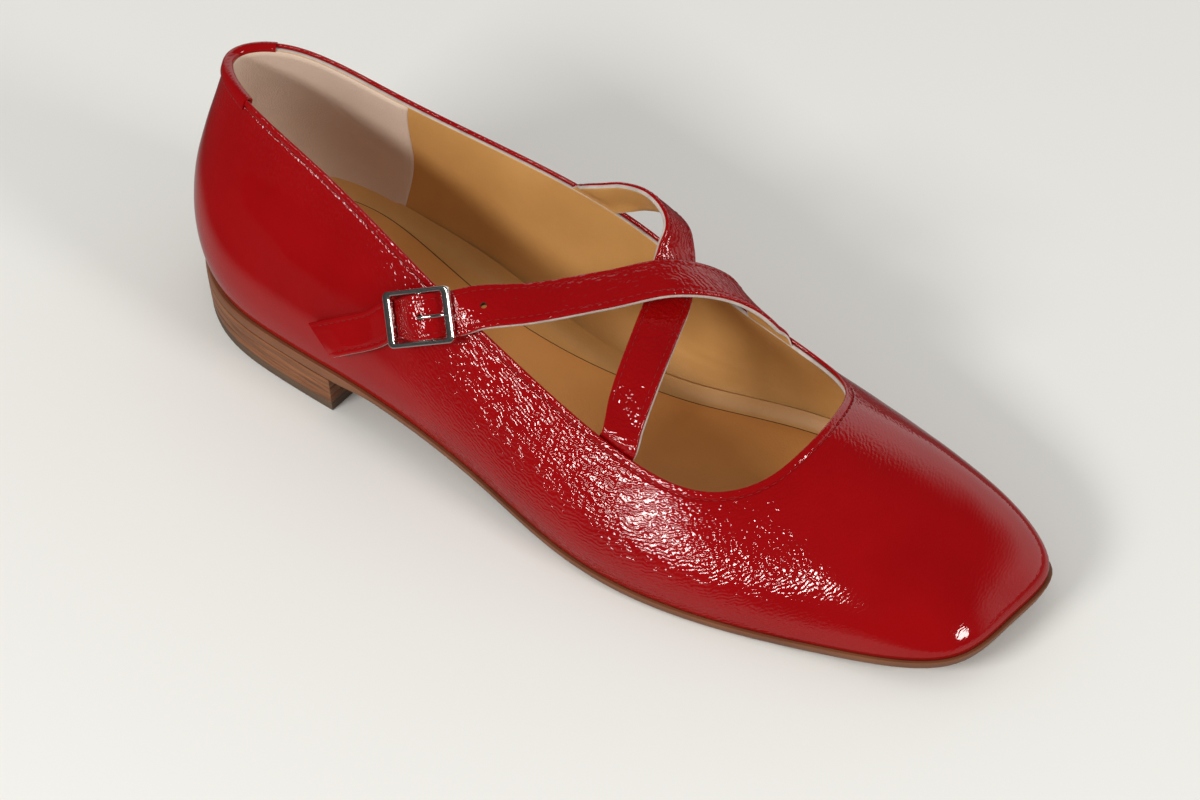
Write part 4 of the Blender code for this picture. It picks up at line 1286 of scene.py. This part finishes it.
def weave_lift(u):
    """The strap's middle above the wall, u mm from the centre bar that it humps over."""
    share = min(abs(u) / HUMP_REACH, 1.0) ** HUMP_BREADTH
    low = STRAP_LIFT + WALL_SWELL
    return low + (HUMP_LIFT - low) * (0.5 + 0.5 * math.cos(math.pi * share))


def woven_row(u):
    """A row flat through the buckle's frame."""
    return np.array([*(BUCKLE @ Vector((u, 0, weave_lift(u)))), *(BUCKLE.to_3x3() @ Vector((0, 0, 1)))])


def tail_row(u, down, tilt):
    """A row of the tail on the wall, whose lower edge stands off by the tilt."""
    aim = BUCKLE @ Vector((u, down, 0))
    tilt = math.radians(tilt)
    lift = STRAP_LIFT + STRAP_PLAY + TAIL_WIDTH / 2 * math.sin(tilt)
    point, normal = lay_on(OUTER_WALL, aim.x, aim.z, -1, lift)
    downward = np.array(BUCKLE.to_3x3() @ Vector((0, 1, 0)))
    return np.concatenate([point, normal * math.cos(tilt) - downward * math.sin(tilt)])


# %% Strap frames
def strap_frames(rows):
    """Even sections along a strap: its middle, and the directions along, across and out of it."""
    rows = np.array(rows)
    steps = np.linalg.norm(np.diff(rows[:, :3], axis=0), axis=1)
    knots = np.concatenate([[0.0], np.cumsum(np.sqrt(steps))])
    dense = open_curve(rows, knots, np.linspace(0, knots[-1], FINE_POINTS))
    run = running_length(dense[:, :3])
    places = np.linspace(0, run[-1], int(run[-1] / STRAP_STEP))
    even = along_line(places, run, dense)
    for _ in range(SMOOTHINGS):
        even[1:-1] = (even[:-2] + 2 * even[1:-1] + even[2:]) / 4
    middle = even[:, :3]
    along = unit(np.gradient(middle, axis=0))
    across = unit(np.cross(even[:, 3:], along))
    face = np.cross(along, across)
    return {"middle": middle, "along": along, "across": across, "face": face, "run": places}


def strap_place(strap, number, across, up, skew):
    """A point of a strap's section; skew slants the far end and makes a narrower tail."""
    left = strap["run"][-1] - strap["run"][number]
    slant = skew * np.clip(1 - left / TAIL_SKEW_RUN, 0, 1)
    if skew:
        narrowed = np.clip(1 - (left - TAIL_NARROWED) / NARROWING, 0, 1)
        across = across * (1 - (1 - TAIL_WIDTH / STRAP_WIDTH) * narrowed)
    point = strap["middle"][number] + strap["across"][number] * across + strap["face"][number] * up
    return point - strap["along"][number] * slant * (across / STRAP_WIDTH + 0.5)


buckled_rows = [woven_row(u) for u in WEAVE] + [tail_row(*row) for row in TAIL]
CROSS = strap_frames(root_rows(CROSS_ROOT, 1) + free_rows(CROSS_STRAP) + root_rows(CROSS_END, -1))
BUCKLED = strap_frames(root_rows(BUCKLE_ROOT, 1) + free_rows(BUCKLE_STRAP) + buckled_rows)
print(f"cross strap {CROSS['run'][-1]:.0f} mm, buckle strap {BUCKLED['run'][-1]:.0f} mm")

# %% Sections of the strap's layers
STRAP_COLUMNS = (-4.4, -2.2, 0.0, 2.2, 4.4)    # across a flat face, so it can bend at a root
LINING_PROUD = 0.12       # the lining shows this much along the lower edge


def leather_section():
    """Section of the patent layer: rounded top edges, a low crown and a groove for the stitches."""
    half = STRAP_WIDTH / 2
    edge = [(-half + 0.06, 0.0), (-half, 0.25), (-half + 0.02, 0.55), (-half + 0.14, 0.76),
            (-half + 0.36, 0.87)]
    inset = -half + STRAP_STITCH_INSET
    top = [(inset - 0.45, 0.91), (inset - 0.15, 0.90 - STRAP_GROOVE), (inset + 0.15, 0.90 - STRAP_GROOVE),
           (inset + 0.45, 0.92), (-2.6, 0.95), (-1.3, 0.98), (0.0, 1.0)]
    left = edge + top
    right = [(-across, up) for across, up in reversed(left[:-1])]
    return left + right + [(across, 0.0) for across in reversed(STRAP_COLUMNS)]


def lining_section():
    """Section of the lining, cut square, as its parts: hidden face, lower edge, under face, upper edge."""
    half = STRAP_WIDTH / 2 - 0.08
    proud = half + LINING_PROUD
    hidden_face = [(-half, 0.02)] + [(across, 0.02) for across in STRAP_COLUMNS]
    lower_edge = [(proud, 0.02), (proud + 0.03, -0.4), (proud - 0.02, -0.78), (proud - 0.2, -0.9)]
    under_face = [(across, -0.9) for across in reversed(STRAP_COLUMNS)]
    upper_edge = [(0.2 - half, -0.9), (0.02 - half, -0.78), (-0.03 - half, -0.4)]
    return hidden_face, lower_edge, under_face, upper_edge


# %% Roots of the straps
def topline_heights(side):
    """Distances along the shoe and heights of the topline on one side, for looking up between them."""
    half = SPOKES // 2
    line = WALL[:half, -1] if side < 0 else WALL[half:, -1][::-1]
    before_toe = line[:, 0] < 180
    return line[before_toe, 0], line[before_toe, 2]


TOPLINE = {-1: topline_heights(-1), 1: topline_heights(1)}


def rooted(middle, side):
    """Share of a strap's thickness, and its shift, where it goes into the wall at a root.

    Below the topline the strap is skived and lies between leather and lining.
    """
    topline = float(np.interp(middle[0], *TOPLINE[side]))
    over = middle[2] - topline
    thin = SKIVED + (1 - SKIVED) * float(soft_step(over, -0.5, SKIVE_RUN))
    held = float(1 - soft_step(over, -0.3, HELD_RUN))
    shift = np.zeros(3)
    if held > 0:
        for _ in range(2):
            shift[0] = -ROOT_SLIDE * shift[1] if side < 0 else 0.0
            low = min(middle[2], topline - 0.8)
            caught = lay_on(MIDDLE_WALL, middle[0] + shift[0], low, side, 0.0)[0]
            shift[1] = caught[1] - middle[1]
    return thin, shift * held


# %% Strap layers
def make_layer(name, strap, section, finishes, roots, skew=0.0, column_finishes=None):
    """One layer of a strap; roots tells for its first and last end whether it goes into a wall."""
    rows = []
    run = strap["run"]
    for number, gone in enumerate(run):
        row = []
        for across, up in section:
            thin = 1.0
            shift = np.zeros(3)
            for in_wall, side, left in zip(roots, (1, -1), (gone, run[-1] - gone)):
                if in_wall and left < ROOT_REACH:
                    thin, shift = rooted(strap_place(strap, number, across, 0.0, skew), side)
            row.append(strap_place(strap, number, across, up * thin, skew) + shift)
        rows.append(row)
    faces = bar_faces(len(rows), len(section))
    finish = [column_finishes[face[0] % len(section)] if column_finishes else 0 for face in faces[:-2]]
    finish += [len(finishes) - 1] * 2
    return make_piece(name, rows, faces, finishes, sharp_above=50, finish_of_face=finish)


def make_strap_lining(name, strap, roots, skew=0.0):
    hidden, lower, under, upper = lining_section()
    tan_from = len(hidden) + len(lower) - 1
    tan_to = tan_from + len(under) + 1
    section = hidden + lower + under + upper
    raw = [0 if tan_from <= column < tan_to else 1 for column in range(len(section))]
    return make_layer(name, strap, section, [LINING, RAW_EDGE], roots, skew, raw)


cross_leather = make_layer("cross_strap_leather", CROSS, leather_section(), [PATENT], (True, True))
cross_lining = make_strap_lining("cross_strap_lining", CROSS, (True, True))
buckle_leather = make_layer("uncut leather", BUCKLED, leather_section(), [PATENT], (True, False), TAIL_SKEW)
buckle_lining = make_strap_lining("uncut lining", BUCKLED, (True, False), TAIL_SKEW)

# %% [markdown]
# The strap has a row of round holes, punched a little over eight millimetres apart, and the prong goes
# through one of them. A dark disc would look like a hole from above only, so they are cut with round
# tools in an exact Boolean modifier, and each tool goes once its cut is made.

# %% Holes in the buckle strap
HOLE_RADIUS = 0.85
HOLE_PITCH = 8.4
HOLES = (0, -1, -2)       # from the prong's hole, toward the instep
PUNCH_SIDES = 20
PUNCH_REACH = 2.5
STRAP_CRINKLE = 1.05
TAIL_CRINKLE = 0.05       # the tail is pulled smooth
TAIL_ENDS = (80, 88)      # along the shoe


def make_punch(number):
    """A round tool through the buckle strap at one of its sections."""
    middle, along, across, face = (BUCKLED[key][number] for key in ("middle", "along", "across", "face"))
    points = []
    for up in (-PUNCH_REACH, PUNCH_REACH):
        for k in range(PUNCH_SIDES):
            turn = 2 * math.pi * k / PUNCH_SIDES
            points.append(middle + face * up
                          + (along * math.cos(turn) + across * math.sin(turn)) * HOLE_RADIUS)
    # The punch's dark colour passes to the walls of the holes it cuts, as painted shade inside them.
    return make_piece("punch", points, bar_faces(2, PUNCH_SIDES), [EDGE_DYE_AND_SHADE])


def punch_holes(layer, name):
    at_prong = np.array(BUCKLE @ Vector((-PRONG_EYE, 0, weave_lift(-PRONG_EYE))))
    start = int(np.linalg.norm(BUCKLED["middle"] - at_prong, axis=1).argmin())
    tools = [make_punch(start + round(hole * HOLE_PITCH / STRAP_STEP)) for hole in HOLES]
    made = cut_away(layer, tools, name)
    made.data.set_sharp_from_angle(angle=math.radians(50))
    return made


buckle_leather = punch_holes(buckle_leather, "buckle_strap_leather")
buckle_lining = punch_holes(buckle_lining, "buckle_strap_lining")
for leather in (cross_leather, buckle_leather):
    spots = np.array([vertex.co / MM for vertex in leather.data.vertices])
    on_the_tail = (1 - soft_step(spots[:, 0] + ORIGIN_X, *TAIL_ENDS)) * (spots[:, 1] < 0)
    paint_crinkle(leather, STRAP_CRINKLE - (STRAP_CRINKLE - TAIL_CRINKLE) * on_the_tail)
settle(cross_leather, "patent", "cross_strap")
settle(cross_lining, "lining")
settle(buckle_leather, "patent", "buckle_strap")
settle(buckle_lining, "lining")


# %% Stitches along the straps
def strap_seam(strap, side, start, end, skew=0.0):
    """Path of a strap's edge stitching on one side, from start mm in to end mm before its far end."""
    across = side * (STRAP_WIDTH / 2 - STRAP_STITCH_INSET)
    run = strap["run"]
    numbers = [n for n in range(len(run)) if start < run[n] < run[-1] - end]
    return [strap_place(strap, n, across, STRAP_STITCH_LIFT, skew) for n in numbers]


make_stitches(
    "strap_stitches",
    [strap_seam(CROSS, -1, 26, 15), strap_seam(CROSS, 1, 17, 15),
     strap_seam(BUCKLED, -1, 20, 4, TAIL_SKEW), strap_seam(BUCKLED, 1, 20, 9, TAIL_SKEW)],
    RED_THREAD, Pitch=0.0021, Stitch_length=0.0016)

# %% [markdown]
# ## The buckle
# A cast rectangular frame, polished, with its edges rounded, a centre bar under it, a prong hooked
# round the bar and a thin tab of patent folded round the bar beside the prong. The frame could be a box
# with a hole and a Bevel modifier. It is one ring of rounded sections, so that its reflections run
# evenly round the corners.


# %% Buckle helpers
def to_shoe(points):
    """Points from the buckle's own place, X along the strap, to the shoe's."""
    turned = np.array(BUCKLE.to_3x3())
    return np.asarray(points, float).reshape(-1, 3) @ turned.T + np.array(BUCKLE.translation)


def rounded_rectangle(length, height, corner, turns=10, straights=6):
    """Outline of a rectangle with round corners, with points along its straights too."""
    arcs = []
    for quarter, (sx, sy) in enumerate(((1, 1), (-1, 1), (-1, -1), (1, -1))):
        angles = np.pi / 2 * (quarter + np.arange(turns + 1) / turns)
        centre = (sx * (length / 2 - corner), sy * (height / 2 - corner))
        arcs.append(centre + corner * np.column_stack([np.cos(angles), np.sin(angles)]))
    shares = np.arange(1, straights)[:, None] / straights
    line = []
    for arc, following in zip(arcs, arcs[1:] + arcs[:1]):
        line += [*arc, *(arc[-1] + (following[0] - arc[-1]) * shares)]
    return np.array(line)


def squarish(turn, power=4.5):
    """A point on a rounded square of half width one."""
    return [math.copysign(abs(part) ** (2 / power), part) for part in (math.cos(turn), math.sin(turn))]


def bar_between(points, radii, sides=16):
    """A round bar through points, with a radius at each, closed at both ends."""
    points = np.asarray(points, float)
    along = unit(np.gradient(points, axis=0))
    side = np.array([1.0, 0.0, 0.0]) if abs(along[0][1]) > 0.9 else np.array([0.0, 1.0, 0.0])
    turns = [2 * math.pi * k / sides for k in range(sides)]
    rows = []
    for point, forward, radius in zip(points, along, radii):
        across = unit(side - forward * (side @ forward))
        upward = np.cross(forward, across)
        rows.append([point + radius * (across * math.cos(t) + upward * math.sin(t)) for t in turns])
    return to_shoe(rows), bar_faces(len(rows), sides)


def smooth_path(path, count):
    """Even points on a curve through a short list."""
    path = np.asarray(path, float)
    knots = running_length(path)
    return open_curve(path, knots, np.linspace(0, knots[-1], count))


def hook(radius, start, end):
    """Points round the centre bar, every 20 degrees."""
    turns = [math.radians(degrees) for degrees in range(start, end + 1, 20)]
    return [(radius * math.sin(t), 0, BAR_LIFT + radius * math.cos(t)) for t in turns]


# %% The frame and its bar
def make_frame_ring(sides=28):
    outer = rounded_rectangle(BUCKLE_LENGTH, BUCKLE_HEIGHT, FRAME_CORNER)
    inner = rounded_rectangle(BUCKLE_LENGTH - 2 * SIDE_BAR, BUCKLE_HEIGHT - 2 * RAIL, FRAME_CORNER / 2)
    height = (FRAME_LOW + FRAME_HIGH) / 2
    section = [squarish(2 * math.pi * (k + 0.5) / sides) for k in range(sides)]
    rings = [[(*((here + there) / 2 + (here - there) / 2 * wide), height + tall * FRAME_THICK / 2)
              for wide, tall in section] for here, there in zip(outer, inner)]
    return make_piece("buckle_ring", to_shoe(rings), grid_faces(len(rings), sides), [STEEL])


bar_end = (BUCKLE_HEIGHT - RAIL) / 2
bar = bar_between([(0, y, BAR_LIFT) for y in (-bar_end, 0, bar_end)], [BAR_RADIUS] * 3)
settle(make_frame_ring(), "steel", "buckle_frame")
settle(make_piece("buckle_centre_bar", *bar, [STEEL], sharp_above=60), "steel")

# %% The prong
PRONG_POINTS = 90
PRONG_TAPER = 0.65        # share of its radius that it loses at the tip
PRONG_TIP = 6             # over this many points


def make_prong():
    strap_top = HUMP_LIFT + STRAP_THICK / 2
    rest = FRAME_HIGH + 0.05 + PRONG_RADIUS
    side_bar = (BUCKLE_LENGTH - SIDE_BAR) / 2
    path = hook(PRONG_EYE, 40, 280)
    path += [(-PRONG_EYE, 0, HUMP_LIFT - STRAP_THICK), (-PRONG_EYE - 0.05, 0, HUMP_LIFT),
             (-PRONG_EYE - 0.2, 0, strap_top + 0.4), (-PRONG_EYE - 0.8, 0, strap_top + 0.85),
             (-side_bar * 0.55, 0, strap_top + 0.55), (-side_bar + 0.6, 0, rest + 0.15),
             (-side_bar - 0.5, 0, rest)]
    tip = soft_step(np.arange(PRONG_POINTS), PRONG_POINTS - PRONG_TIP, PRONG_POINTS)
    bent = bar_between(smooth_path(path, PRONG_POINTS), PRONG_RADIUS * (1 - PRONG_TAPER * tip))
    return make_piece("buckle_prong_bent", *bent, [STEEL], sharp_above=60)


settle(make_prong(), "steel", "buckle_prong")


# %% The tab
def tab_blank():
    """The tab's strip, folded round the bar and laid on itself."""
    fold = BAR_RADIUS + TAB_PLAY + TAB_THICK / 2
    under = BAR_LIFT - fold
    laid_on_itself = under + TAB_THICK + GAP / 2
    path = [(TAB_LENGTH, 0, under), *hook(fold, 180, 360), (TAB_LENGTH * 0.35, 0, BAR_LIFT + fold * 0.7),
            (TAB_LENGTH * 0.7, 0, laid_on_itself + GAP), (TAB_LENGTH, 0, laid_on_itself)]
    points = smooth_path(path, 60)
    across = TAB_WIDTH / 2
    up = TAB_THICK / 2
    section = [(-across, 0.15 - up), (0.15 - across, -up), (across - 0.15, -up), (across, 0.15 - up),
               (across, up - 0.15), (across - 0.15, up), (0.15 - across, up), (-across, up - 0.15)]
    side = np.array([0.0, 1.0, 0.0])
    shaped = []
    for point, forward in zip(points, unit(np.gradient(points, axis=0))):
        upward = np.cross(forward, side)
        shaped += [point + side * a + upward * b for a, b in section]
    return make_piece("uncut tab", to_shoe(shaped), bar_faces(len(points), len(section)), [PATENT],
                      sharp_above=50)


def make_tab():
    """The tab with a slot for the prong."""
    reach = PRONG_EYE + PRONG_RADIUS + GAP
    wide = TAB_SLOT / 2
    corners = [(x, y, z) for z in (-reach, BAR_LIFT + 2 * reach)
               for x, y in ((-reach, -wide), (reach, -wide), (reach, wide), (-reach, wide))]
    slot = make_piece("slot tool", to_shoe(corners), bar_faces(2, 4), [PATENT])
    made = cut_away(tab_blank(), [slot], "buckle_tab_folded")
    paint_crinkle(made, TAB_CRINKLE)
    return made


settle(make_tab(), "patent", "buckle_tab")

# %% [markdown]
# ## The studio
# The shoe stands on a plain pale floor. Two soft boxes light it, one from its outer side and one from
# ahead of the toe, and a pale wall of light far behind fills the reflections on the side that looks
# away. Straight overhead it is dark, which is what keeps the vamp a deep, even red. The surroundings
# are painted in the world shader by direction, so nothing stands in the way of any view.

# %% Floor
MIRROR_NEAR = 0.058       # metres from the shoe's middle line: glossy surfaces mirror the floor pale
MIRROR_FAR = 0.110        # up to here, and from here on dark
MIRROR_LEFT = 0.05        # with this much of its colour
MIRROR_MOST = 0.50        # and no more than this much close by
MIRROR_LINE = (-0.01, 0.2)    # the middle line's two ends, in metres
FLOOR_HALF = 6000.0


# Painted shade seen only in reflections: to glossy rays the floor turns darker away from the shoe, while to
# the camera and to diffuse light it stays evenly pale.
def mirrored_darker(tree, place, target):
    """Feeds target with a colour that is darker away from the shoe where a glossy surface mirrors it.

    Gives the socket for that colour.
    """
    parts = add_node(tree, "ShaderNodeSeparateXYZ", {0: place})
    along = add_node(tree, "ShaderNodeClamp",
                     {"Value": parts.outputs["X"], "Min": MIRROR_LINE[0], "Max": MIRROR_LINE[1]})
    nearest = add_node(tree, "ShaderNodeCombineXYZ", {"X": along.outputs[0]})
    away = add_node(tree, "ShaderNodeVectorMath", {0: place, 1: nearest.outputs[0]}, operation="DISTANCE")
    fade = spread(tree, away.outputs["Value"], MIRROR_NEAR, MIRROR_FAR, MIRROR_MOST, MIRROR_LEFT,
                  "SMOOTHSTEP")
    glossy = tree.nodes.new("ShaderNodeLightPath").outputs["Is Glossy Ray"]
    share = add_node(tree, "ShaderNodeMix", {"Factor": glossy, "A": 1.0, "B": fade}, data_type="FLOAT")
    scaled = add_node(tree, "ShaderNodeVectorMath", {"Scale": share.outputs["Result"]}, operation="SCALE")
    tree.links.new(scaled.outputs[0], target)
    return scaled.inputs[0]


def make_floor():
    made, tree, shader, place = start_finish("pale sweep", 0.6)
    tone = use_group(tree, TONE, place, Clouds_per_metre=1.5)
    colour = mirrored_darker(tree, place, shader["Base Color"])
    two_tones(tree, tone, (0.82, 0.815, 0.785), (0.84, 0.835, 0.81), colour)
    corners = [(x * FLOOR_HALF, y * FLOOR_HALF, 0) for x, y in ((-1, -1), (1, -1), (1, 1), (-1, 1))]
    return make_piece("floor", corners, [(0, 1, 2, 3)], [made])


floor = make_floor()

# %% World
AMBIENT = 0.55            # soft light from all round
OVERHEAD = 0.05           # what the glossy surfaces mirror from straight above
BACKDROP = 0.95           # and from the pale wall behind
BACKDROP_FACING = 92.0    # degrees from the toe's direction toward the inner side
BACKDROP_SIDES = (0.15, 0.75)    # cosine of the angle off its middle: where it starts, and is full
BACKDROP_TOP = (0.72, 0.45)      # sine of the angle above the floor, the same way
BACKGROUND = 0.8          # what a view past the floor would show
SKY_COLOUR = (1.0, 0.995, 0.975, 1.0)


def make_world():
    world = bpy.data.worlds.new("Studio")
    world.use_nodes = True
    bpy.context.scene.world = world
    tree = world.node_tree
    tree.nodes.clear()
    place = tree.nodes.new("ShaderNodeTexCoord").outputs["Generated"]
    rays = tree.nodes.new("ShaderNodeLightPath").outputs
    height = add_node(tree, "ShaderNodeSeparateXYZ", {0: place}).outputs["Z"]
    turn = math.radians(BACKDROP_FACING)
    backdrop = (math.cos(turn), math.sin(turn), 0.0)
    toward = add_node(tree, "ShaderNodeVectorMath", {0: place, 1: backdrop}, operation="DOT_PRODUCT")
    facing_it = spread(tree, toward.outputs["Value"], *BACKDROP_SIDES, easing="SMOOTHSTEP")
    under_top = spread(tree, height, *BACKDROP_TOP, easing="SMOOTHSTEP")
    wall = maths(tree, "MULTIPLY", facing_it, under_top)
    mirrored = spread(tree, wall, 0.0, 1.0, OVERHEAD, BACKDROP)
    lit = add_node(tree, "ShaderNodeMix", {"Factor": rays["Is Diffuse Ray"], "A": mirrored, "B": AMBIENT},
                   data_type="FLOAT")
    seen = add_node(tree, "ShaderNodeMix", {"Factor": rays["Is Camera Ray"], "A": lit.outputs["Result"],
                                            "B": BACKGROUND}, data_type="FLOAT")
    light = add_node(tree, "ShaderNodeBackground", {"Strength": seen.outputs["Result"],
                                                    "Color": SKY_COLOUR})
    add_node(tree, "ShaderNodeOutputWorld", {"Surface": light.outputs["Background"]})


make_world()

# %% Soft boxes
LIGHTS = (                # degrees round from the toe and up from the floor, metres wide and high, watts
    ("side box", -101.0, 31.0, 0.68, 0.24, 15.0),
    ("front box", -3.0, 26.0, 0.38, 0.38, 9.5),
)
LIGHT_DISTANCE = 1.6
LIGHT_COLOUR = (1.0, 0.985, 0.955)
SHOE_MIDDLE = Vector((0.095, 0.0, 0.03))

for name, around, up, width, height, power in LIGHTS:
    lamp = bpy.data.lights.new(name, "AREA")
    lamp.shape = "RECTANGLE"
    lamp.size = width
    lamp.size_y = height
    lamp.energy = power
    lamp.color = LIGHT_COLOUR
    around = math.radians(around)
    up = math.radians(up)
    direction = Vector((math.cos(around) * math.cos(up), math.sin(around) * math.cos(up), math.sin(up)))
    stand = show(name, lamp)
    stand.location = SHOE_MIDDLE + direction * LIGHT_DISTANCE
    stand.rotation_euler = direction.to_track_quat("Z", "Y").to_euler()
    stand.visible_camera = False

# %% Camera
CAMERA_AT = Vector((0.5831, -0.6585, 0.7692))
CAMERA_AIM = Vector((0.0985, -0.0035, 0.019))
CAMERA_LENS = 130.0

lens = bpy.data.cameras.new("camera")
lens.sensor_width = 36.0
lens.lens = CAMERA_LENS
lens.clip_start = 0.05
lens.clip_end = 50.0
camera = show("camera", lens)
camera.location = CAMERA_AT
camera.rotation_euler = (CAMERA_AT - CAMERA_AIM).to_track_quat("Z", "Y").to_euler()
bpy.context.scene.camera = camera
bpy.context.scene.view_settings.view_transform = "Standard"
